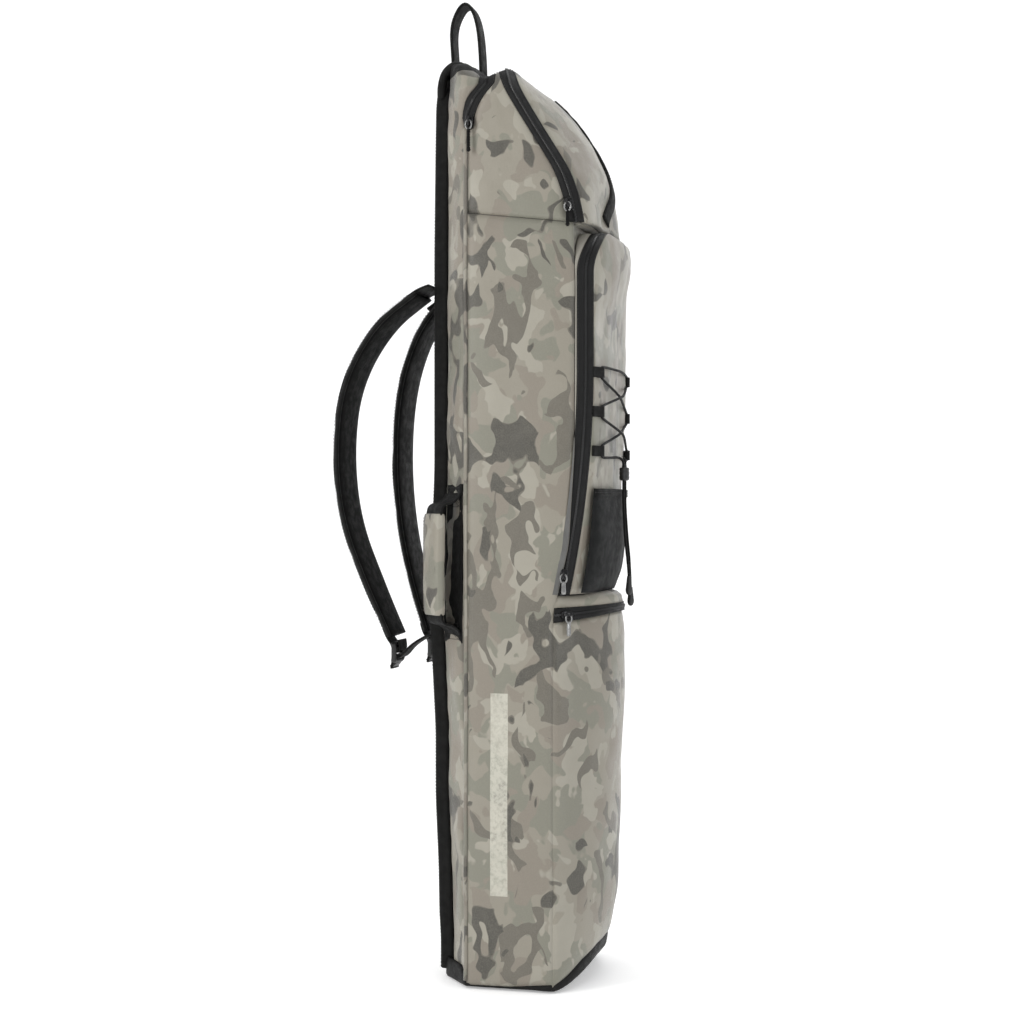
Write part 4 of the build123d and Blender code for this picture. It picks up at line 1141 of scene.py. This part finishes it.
for s in (0.12, 0.3, 0.5, 0.75, 1.0):
    q = edge.copy()
    q[:, 2] = rise + 1.6 + np.maximum(2, top_z - rise - 1.6) * s
    flare = np.where(edge[:, 1] < -46.5, -3.5 * s * (1 - (edge[:, 0] / HALF) ** 2), 0)
    q[:, 1] += flare
    rows.append(q)
base_grid = np.array(rows)
base = shell("base_boot", base_grid, BASE, LINING, thick=2.8, puff=0.8, reach=3, ruffle=0.35, seed=97,
             sides="U", away=(0, 10, 60), fold=(22, 22, 22))
dress(base, "main_body", ("base_tub",))

# ---- Straps, handle ---------------------------------------------------------------------------
STRAPS = {
    "near": (-45, [(110, 734), (155, 702), (192, 640), (201, 566), (193, 490), (165, 420), (140, 366)]),
    "far": (45, [(110, 734), (137, 698), (156, 640), (162, 566), (157, 490), (142, 420), (126, 366)]),
}


def buckle(name, x, y, z):
    """A ladder lock: a frame with two cross bars and a thumb tab, made in one piece."""
    section = [(a, b - 2.9) for a, b in round_section(3.8, 5.8, 1.6)]
    low, high, half = z - 29, z - 8, 16.0
    corners = []
    for cx, cz, start in ((half - 4, high - 4, 0), (-half + 4, high - 4, 90), (-half + 4, low + 4, 180),
                          (half - 4, low + 4, 270)):
        for a in np.linspace(radians(start), radians(start + 90), 7):
            bend_back = 2.2 * ((cz + 3 * sin(a) - (low + high) / 2) / 10) ** 2
            corners.append((x + cx + 3 * cos(a), y - 3 + bend_back, cz + 3 * sin(a)))
    parts = [ring("frame", corners, (0, 1, 0), section, PLASTIC)]
    for at, depth in ((high - 7.5, -3.4), (low + 7.0, -3.0)):
        path = evenly([(x - half + 1, y + depth, at), (x + half - 1, y + depth, at)], 3)
        parts.append(sweep("bar", path, (0, 1, 0), [(a, b - 2.2) for a, b in round_section(3.4, 4.4, 1.4)],
                           PLASTIC))
    tab = [(x, y - 2, low + 0.5), (x, y - 0.5, low - 2), (x, y + 2.2, low - 4.5), (x, y + 3.4, low - 5.4)]
    parts.append(sweep("tab", rounded(tab, 1.5), (0, 1, 0.3),
                       [(a, b - 1.7) for a, b in round_section(22, 3.4, 1.5)], PLASTIC))
    return join(name, parts)


for name, (x, yz) in STRAPS.items():
    body = f"strap_{name}"
    route = rounded([(x, y, z) for y, z in yz], 5)
    normal = in_plane_normals(route, (1, 0, 0), 1)
    if normal[len(normal) // 2][1] < 0:
        normal = -normal
    count = len(route)
    s = np.linspace(0, 1, count)
    width = 1.0 - 0.10 * smooth_step(s, 0.82, 1.0) - 0.05 * smooth_step(1 - s, 0.86, 1.0)
    section = [(-29, -1.2), (-29.4, 0.6), (-26, 4.2), (-17, 5.8), (-6, 6.3), (6, 6.3), (17, 5.8), (26, 4.2),
               (29.4, 0.6), (29, -1.2), (25, -3.9), (14, -5.1), (0, -5.4), (-14, -5.1), (-25, -3.9)]
    grid = sweep_grid(route, normal, section, width)
    push = soft_noise(grid, (26, 26, 34), 101) * 0.9
    middle = route[:, None]
    away = grid - middle
    away /= np.linalg.norm(away, axis=2, keepdims=True)
    quilt = 0.8 * np.exp(-((np.mod(np.arange(count), 14) - 7) / 1.1) ** 2)
    quilt[[0, -1]] = 0
    grid = grid + away * push[..., None] - away * quilt[:, None, None]
    pad = add_mesh(f"strap_pad_{name}", grid.reshape(-1, 3), ring_faces(count, len(section)), [PAD])
    tidy_normals(pad)
    dress(pad, body, (f"strap_{name}",))
    piping = [sweep("edge", sweep_grid(route, normal, [(sign * 29.6, -0.4)], width)[:, 0], normal,
                    [(2.3 * a, 2.3 * b) for a, b in circle_section(1.0, 10)], BLACK) for sign in (-1, 1)]
    dress(join(f"strap_piping_{name}", piping), body)
    for sign in (-1, 1):
        row = sweep_grid(route, normal, [(sign * 24.5, 5.0)], width)[2:-2, 0]
        stitches(f"strap_stitch_{name}_{'left' if sign < 0 else 'right'}", row, normal[2:-2], BLACK_THREAD,
                 body,
                 3.8, 2.6, 0.3)
    centre = route + normal * 5.8
    web = sweep(f"strap_centre_web_{name}", centre[1:-1], normal[1:-1], round_section(25, 1.6, 0.7, 0.3),
                BLACK)
    dress(web, body)
    y, z = yz[-1]
    web_end = rounded([tuple(centre[-3]), tuple(centre[-1] + [0, 0, -0.5]), (x, y + 1.0, z - 8),
                       (x, y - 0.6, z - 13.5), (x, y - 3.8, z - 18), (x, y - 6.4, z - 14),
                       (x, y - 5.0, z - 5)], 2)
    strap_end = sweep(f"strap_end_web_{name}", web_end, in_plane_normals(web_end, (1, 0, 0), 1),
                      round_section(25, 2.8, 1.2, 0.25), BLACK)
    dress(strap_end, body)
    dress(buckle(f"ladder_lock_{name}", x, y, z), body, (f"buckle_{name}",))
    low_web = rounded([(x, 97.0, 367.5), (x, 104, 367), (x, (y + 104) / 2, (z + 346) / 2),
                       (x, y - 9, z - 21.5),
                       (x, y - 3.2, z - 23.4), (x, y + 1.4, z - 25.5), (x, y + 2.6, z - 31),
                       (x, y + 3.4, z - 36)], 2.5)
    web = sweep(f"strap_lower_web_{name}", low_web, in_plane_normals(low_web, (1, 0, 0), -1),
                round_section(25, 2.4, 1.0, 0.25), BLACK)
    bend(web, ("back_door", body), (x, 97, 366), (x, 108, 366), "black_trim", (f"web_{name}",))
    top = rounded([(x, 95.5, 742), (x, 99, 741), (x, 110, 737), (x, 124, 727)], 3)
    yoke = sweep(f"strap_yoke_{name}", top, in_plane_normals(top, (1, 0, 0), -1),
                 [(a, b - 1.5) for a, b in round_section(54, 3.0, 1.2, 0.3)], BLACK,)
    bend(yoke, ("back_door", body), (x, 96, 740), (x, 112, 740), "black_trim")

rows = [[(50 * k, 94.6 + 0.6 * (1 - k * k), z) for k in np.linspace(-1, 1, 24)]
        for z in np.linspace(716, 760, 12)]
patch_top = shell("strap_anchor_patch", lean(np.array(rows)), BLACK, BLACK, thick=1.4, puff=0.8, reach=3,
                  ruffle=0.3, seed=111, away=(0, 40, 480), fold=(14, 14, 14))
dress(patch_top, "back_door", ("strap_anchor_top",))
low_wings = []
for sign in (-1, 1):
    rows = []
    for k in np.linspace(0, 1, 12):
        x_at = sign * (50 - 38 * k)
        reach = 21 - 8 * k
        rows.append([(x_at, 94.8, 367 + reach * v) for v in np.linspace(-1, 1, 10)])
    low_wings.append(shell("wing", lean(np.array(rows)), BLACK, BLACK, thick=1.4, puff=0.8, reach=3,
                           ruffle=0.3,
                           seed=113, away=(0, 40, 480), fold=(14, 14, 14)))
dress(join("strap_anchor_wings", low_wings), "back_door", ("strap_anchor_low",))

STRIP = np.array([-76.5, 63.5, 0.0])
ALONG = np.array([0.7665, 0.6422, 0.0])
OUTWARD = np.array([-0.6422, 0.7665, 0.0])


def from_strip(out, z, across=0.0):
    return STRIP + OUTWARD * out + ALONG * across + np.array([0, 0, z])


backing = np.array([[from_strip(2.4, z, a) for a in np.linspace(-19.5, 19.5, 14)]
                    for z in np.linspace(361, 529, 50)])
backing = lean(backing)
patch = shell("handle_backing", backing, BLACK, BLACK, thick=2.2, puff=0.9, reach=2.5, ruffle=0.35, seed=121,
              away=(0, 40, 480), fold=(16, 16, 22))
dress(patch, "back_door", ("handle_patches",))
for tag, low, high in (("top", 505, 525), ("bottom", 365, 382)):
    box_line = [from_strip(4.0, z, a) for a, z in ((-16, low), (16, low), (16, high), (-16, high), (-16, low),
                                                 (16, high))]
    box_line = lean(np.array(box_line))
    stitches(f"handle_box_stitch_{tag}", evenly(box_line, 1.2), OUTWARD, BLACK_THREAD, "back_door", 3.2, 2.3,
             0.4)
handle_route = rounded([from_strip(3.0, 519), from_strip(5.5, 514), from_strip(13, 508.5),
                        from_strip(22, 507.5),
                        from_strip(25.6, 501), from_strip(26, 480), from_strip(26, 410),
                        from_strip(25.6, 388), from_strip(22, 381.5), from_strip(13, 380.5),
                        from_strip(5.5, 375),
                        from_strip(3.0, 370)], 3)
handle_normal = in_plane_normals(handle_route, tuple(ALONG), -1)
if (handle_normal[len(handle_route) // 2] * OUTWARD).sum() < 0:
    handle_normal = -handle_normal
web = sweep("handle_web", handle_route, handle_normal,
            [(a, b - 1.2) for a, b in round_section(38, 2.4, 1.0, 0.3)],
            BLACK)
bend(web, ("back_door", "side_handle"), from_strip(5, 445), from_strip(13, 445), "black_trim",
     ("handle_webbing",))
sleeve_z = np.linspace(497.5, 391, 44)
sleeve_route = np.array([from_strip(25.8 - 1.0 * ((z - 444) / 53) ** 2, z) for z in sleeve_z])
sleeve_section = [(-17.5, -4.6), (-19.6, -3.2), (-20.4, 0), (-19.6, 3.4), (-17, 5.0), (-9, 5.8), (0, 6.0),
                  (9, 5.8), (17, 5.0), (19.6, 3.4), (20.4, 0), (19.6, -3.2), (17.5, -4.6), (8, -5.2),
                  (-8, -5.2)]
end = np.minimum(1, 0.9 + 0.1 * np.sqrt(np.clip(np.minimum(np.arange(44), 43 - np.arange(44)) / 3.0, 0, 1)))
grid = sweep_grid(sleeve_route, OUTWARD, sleeve_section, end)
away = grid - sleeve_route[:, None]
away /= np.linalg.norm(away, axis=2, keepdims=True)
grid = grid + away * (0.8 * soft_noise(grid, (14, 14, 20), 131)
                      + 0.4 * soft_noise(grid, (6, 6, 8), 133))[..., None]
sleeve = add_mesh("handle_sleeve_wrap", grid.reshape(-1, 3), ring_faces(44, len(sleeve_section)), [CAMO])
tidy_normals(sleeve)
dress(sleeve, "side_handle", ("handle_sleeve",))
seam = [from_strip(30.4, z, 16.2) for z in np.linspace(493, 395, 50)]
stitches("handle_sleeve_stitch", seam, OUTWARD, BROWN, "side_handle", 3.4, 2.3, 0.5)

# ---- Zip sliders and pulls --------------------------------------------------------------------
def slider(name, origin, up, out, pull_length, style):
    """A slider of one plate with a bridge, and its pull: a ring and a cord or a flat tab."""
    origin, up, out = (np.array(v, float) for v in (origin, up, out))
    up /= np.linalg.norm(up)
    side = np.cross(up, out)
    at = lambda a, s, h: origin + up * a + side * s + out * h
    parts = []
    top_path = [at(a, 0, 0.6) for a in np.linspace(-6.4, 6.4, 13)]
    widths = np.interp(np.linspace(0, 1, 13), [0, 0.1, 0.3, 0.6, 0.85, 1], [0.58, 0.8, 0.9, 1.0, 0.92, 0.6])
    parts.append(sweep("plate", top_path, out, round_section(8.4, 2.6, 1.2), METAL, widths))
    bridge = rounded([at(-4.6, 0, 2.6), at(-4.2, 0, 5.6), at(-1.6, 0, 6.8), at(1.6, 0, 6.8), at(4.2, 0, 5.6),
                      at(4.6, 0, 2.6)], 0.8)
    parts.append(sweep("bridge", bridge, side, [(1.0 * a, 1.3 * b) for a, b in circle_section(1.0, 10)],
                       METAL))
    body = join(f"{name}_slider_body", parts)
    dress(body, f"{name}_slider", (f"{name}_slider",))
    down = np.array([0, 0, -1.0])
    across = np.cross(down, out)
    pin = origin + out * 5.2
    hang = lambda a, s, h: pin + down * a + across * s + out * h
    loop = [hang(3.6 - 4.6 * cos(k), 3.3 * sin(k), 0.0) for k in np.linspace(0, 2 * pi, 25)[:-1]]
    parts = [ring("eye", loop, out, [(0.95 * a, 0.95 * b) for a, b in circle_section(1.0, 8)], RING)]
    if style == "cord":
        for phase in (0, pi):
            s = np.linspace(0, 1, 60)
            turn = phase + 2 * pi * 4.0 * s
            swell = np.minimum(1, np.minimum(s, 1 - s) * 12)
            line = [hang(7.2 + (pull_length - 8.4) * k, 1.05 * w * sin(a), 1.05 * w * cos(a))
                    for k, a, w in zip(s, turn, swell)]
            parts.append(sweep("strand", line, side, circle_section(0.95, 8), CORD))
        tip = [hang(pull_length - 3.0 + 0.8 * k, 0, 0) for k in range(6)]
        parts.append(sweep("knot", tip, side, circle_section(1.0, 10), CORD, [1.2, 2.0, 2.3, 2.2, 1.7, 0.8]))
    else:
        tab = [hang(k, 0, 0) for k in np.linspace(6.4, pull_length, 12)]
        shape = np.interp(np.linspace(0, 1, 12), [0, 0.12, 0.5, 0.85, 1], [0.62, 0.8, 0.92, 1.0, 0.72])
        parts.append(sweep("tab", tab, out, [(a, b - 0.9) for a, b in round_section(5.0, 1.8, 0.8)], RING,
                           shape))
    dress(join(f"{name}_pull_tag", parts), f"{name}_pull", (f"{name}_pull",))


slider("main", (-HALF - 0.2, 43.4, 909.1), (0, -0.14, 0.99), (-1, 0, 0), 31, "cord")
slider("hood", (-HALF - 0.2, -62.8, 819), (0, 0.357, 0.934), (-1, 0, 0), 23, "cord")
slider("pocket", (-HALF + 0.2, -57.8, 434), (0, -0.19, 0.98), (-1, -0.15, 0), 20, "tab")
low_turn = radians(52)
low_out = (-sin(low_turn), -cos(low_turn), 0)
slider("lower", (111.6 * low_out[0], 9.6 + 111.6 * low_out[1], 392.5), (low_out[1], -low_out[0], 0), low_out,
       22,
       "tab")

# ---- Cord lock, tails and their ends ----------------------------------------------------------
TAIL_X, TAIL_Y = 5.2, -103.8     # where the two ends leave the lock
LOCK_TOP = 549
LOCK = (0, TAIL_Y, 533.5)
barrel = [(0.01, 0), (5.6, 0), (7.4, 0.5), (8.3, 1.8), (8.6, 4), (8.2, 5), (8.2, 6), (8.6, 7), (8.6, 9),
          (8.2, 10),
          (8.2, 11), (8.5, 12), (8.0, 13.4), (7.0, 14), (3.1, 14), (3.0, 4), (0.01, 4)]
dress(turned("cord_lock_barrel", barrel, LOCK, PLASTIC, 32, 0.62), "cord_lock", ("cord_lock",))
button = [(0.01, 0), (2.4, 0), (2.4, 4.5), (2.7, 5), (2.7, 8.2), (2.3, 9.1), (1.3, 9.6), (0.01, 9.7)]
dress(turned("cord_lock_button", button, (0, TAIL_Y, 541.5), PLASTIC, 20), "lock_button",
      ("lock_button",))
SPRING_FOOT, SPRING_TOP, PRESS, TURNS = 536.5, 541.3, 3.0, 4
WIRE = 0.32
spring_rise = SPRING_TOP - SPRING_FOOT - 2 * WIRE
coil = [(2.05 * cos(a), TAIL_Y + 2.05 * sin(a), SPRING_FOOT + WIRE + spring_rise * a / (2 * pi * TURNS))
        for a in np.linspace(0, 2 * pi * TURNS, 24 * TURNS + 1)]
spring = dress(sweep("cord_lock_spring", coil, (0, 0, 1), circle_section(WIRE, 6), STEEL), "cord_lock",
               ("lock_spring",))
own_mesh(spring)

for name, sign, bottom, length in (("near", -1, 430, 119.4), ("far", 1, 418, 131.4)):
    points = [(TAIL_X * sign, TAIL_Y, LOCK_TOP), (TAIL_X * sign, TAIL_Y, 530), (TAIL_X * sign, TAIL_Y, 508),
              (5.9 * sign, -105.0, 486), (6.7 * sign, -106.4, 466), (5.9 * sign, -108.6, 447),
              (TAIL_X * sign, TAIL_Y - 6, bottom)]
    curve = bpy.data.curves.new(f"cord_tail_{name}", "CURVE")
    curve.dimensions = "3D"
    line = curve.splines.new("NURBS")
    line.points.add(len(points) - 1)
    for point, q in zip(line.points, points):
        point.co = (q[0] * MM, q[1] * MM, q[2] * MM, 1)
    line.order_u = 3
    line.use_endpoint_u = True
    line.resolution_u = 12
    curve.bevel_depth = 1.4 * MM
    curve.bevel_resolution = 4
    curve.use_fill_caps = True
    curve.materials.append(CORD)
    tail = bpy.data.objects.new(f"cord_tail_{name}", curve)
    bpy.context.scene.collection.objects.link(tail)
    dress(tail, "lace_tails", (f"tail_{name}",))
    bell = [(0.01, 0.6), (1.9, 0.6), (2.2, -1), (2.4, -3), (3.1, -9), (3.7, -14), (3.5, -16.6), (2.6, -18.8),
            (1.2, -20), (0.01, -20.2)]
    tip = turned(f"cord_bell_{name}", bell, (TAIL_X * sign, TAIL_Y - 6, bottom), PLASTIC, 20)
    dress(tip, "lace_tails", (f"cord_end_{name}",))


# ---- Walls inside and the shock cord lace -------------------------------------------------------
INNER_X = HALF - 5.6     # half width between the padded sides


def inner_half(z):
    """Half width inside the crown's rounded corners."""
    radius = ARCH_R - 5
    rise = np.clip(z - (970 - radius), 0, radius)
    return INNER_X - radius + np.sqrt(radius ** 2 - rise ** 2)


across = np.linspace(-1, 1, 23)
rows = [[(INNER_X * k, edge_y(z) + 2.5, z) for k in across] for z in np.linspace(16, 797, 90)]
wall_cloth = shell("divider_wall_cloth", np.array(rows, float), LINING, LINING, thick=2.2, puff=0.2, reach=8,
                   ruffle=0.4, seed=95)
dress(wall_cloth, "main_body", ("divider_wall",))

fall = rounded([(0, -60, 800.4), (0, -28, 800.4), (0, -23.5, 806), (0, -11.6, 880), (0, 0.4, 915),
                (0, 13.4, 948), (0, 15.4, 957)], 5)
rows = [[(inner_half(z) * k, y, z) for k in across] for _, y, z in fall]
hood_cloth = shell("hood_divider_cloth", np.array(rows, float), LINING, LINING, thick=2.2, puff=0.2, reach=8,
                   ruffle=0.4, seed=96, away=(0, 60, 700))
dress(hood_cloth, "main_body", ("hood_divider",))

LOOP_X = 73.8            # where the cord turns round inside a loop
LOOP_Y = -93.2
LACE_FRONT = -98.4       # the rear strand where two strands cross
LOW, MIDDLE, HIGH = LOOP_HEIGHTS


def cord_turn(side, z, up):
    """The four route points of a turn inside one webbing loop."""
    rise = 1 if up else -1
    return [(side * 68, LOOP_Y, z - rise * 6.8), (side * LOOP_X, LOOP_Y, z - rise * 4.4),
            (side * LOOP_X, LOOP_Y, z + rise * 4.4), (side * 68, LOOP_Y, z + rise * 6.8)]


def crossing(side, z, slope, lift):
    """Two route points over the middle of the flap, one each side of a crossing."""
    return [(side * 10, LACE_FRONT - lift, z - slope * 10), (-side * 10, LACE_FRONT - lift, z + slope * 10)]


half_lace = [(-TAIL_X, TAIL_Y, LOCK_TOP), (-TAIL_X - 0.6, TAIL_Y, LOCK_TOP + 5.5), (-14, -100.4, 558.4),
             (-40, -96.8, 557)]
near_low = cord_turn(-1, LOW, True)
rear = half_lace + near_low + crossing(-1, (LOW + MIDDLE) / 2, 0.2, 0) + cord_turn(1, MIDDLE, True)
rear += crossing(1, (MIDDLE + HIGH) / 2, 0.2, 0) + cord_turn(-1, HIGH, True)
over = [(-10, LACE_FRONT - 1, HIGH + 6.4), (10, LACE_FRONT - 1, HIGH + 6.4)]
front = cord_turn(1, HIGH, False) + crossing(-1, (MIDDLE + HIGH) / 2, 0.2, 3.6)[::-1]
front += cord_turn(-1, MIDDLE, False) + crossing(1, (LOW + MIDDLE) / 2, 0.2, 3.6)[::-1]
front += [(-x, y, z) for x, y, z in reversed(half_lace + near_low)]
lace_path = rounded(rear + over + front, 1.2)
lace = sweep("bungee_lace_cord", lace_path, (0, -1, 0), circle_section(1.4), CORD)
dress(lace, "pocket_flap", ("bungee_lace",))

# ---- Light, floor, camera ---------------------------------------------------------------------
scene = bpy.context.scene
world = bpy.data.worlds.new("studio")
world.use_nodes = True
world.node_tree.nodes["Background"].inputs["Color"].default_value = (0.985, 0.99, 1.0, 1)
world.node_tree.nodes["Background"].inputs["Strength"].default_value = 0.66
scene.world = world


def lamp(name, at, target, size, power, color=(1, 1, 1)):
    light = bpy.data.lights.new(name, "AREA")
    light.shape = "RECTANGLE"
    light.size, light.size_y = size
    light.energy = power
    light.color = color
    piece = bpy.data.objects.new(name, light)
    piece.location = at
    direction = np.array(target) - np.array(at)
    flat = sqrt(direction[0] ** 2 + direction[1] ** 2)
    piece.rotation_euler = (pi / 2 + atan2(direction[2], flat), 0, atan2(direction[1], direction[0]) - pi / 2)
    scene.collection.objects.link(piece)
    return piece


lamp("key", (-1.5, 1.5, 1.3), (0, 0, 0.5), (0.5, 1.5), 22, (1.0, 0.99, 0.97))
lamp("fill", (-1.6, -2.0, 0.9), (0, 0, 0.45), (0.5, 1.9), 11, (0.96, 0.98, 1.0))
lamp("top", (0.2, -0.2, 2.4), (0, 0, 0.9), (1.2, 1.2), 10)

bpy.ops.mesh.primitive_plane_add(size=14, location=(0, 0, -0.0015))
floor = bpy.context.object
floor.name = "studio_floor"
paper = Nodes("studio_paper")
fibre = paper.noise(paper.place, 400, 2.0).outputs["Fac"]
paper.finish(paper.mix(fibre, (0.90, 0.90, 0.90), (0.92, 0.92, 0.92)), 0.8, Emission_Color=(1, 1, 1, 1),
             Emission_Strength=0.32)
floor.data.materials.append(paper.material)
bpy.ops.mesh.primitive_plane_add(size=16, location=(4.5, 1.1, 4), rotation=(0, radians(-90), radians(14)))
wall = bpy.context.object
wall.name = "studio_wall"
wall.data.materials.append(paper.material)
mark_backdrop(floor, wall)

VIEW_FROM = (-1.9456, -0.4637, 0.4995)   # two metres off, mid height, 14 degrees round to the front
VIEW_TURN = -76
camera_data = bpy.data.cameras.new("camera")
camera_data.lens = 64.2
camera_data.sensor_width = 36
camera_data.clip_end = 50
camera = bpy.data.objects.new("camera", camera_data)
camera.location = VIEW_FROM
camera.rotation_euler = (radians(90), 0, radians(VIEW_TURN))
scene.collection.objects.link(camera)
scene.camera = camera
scene.view_settings.view_transform = "Standard"

low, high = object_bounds()
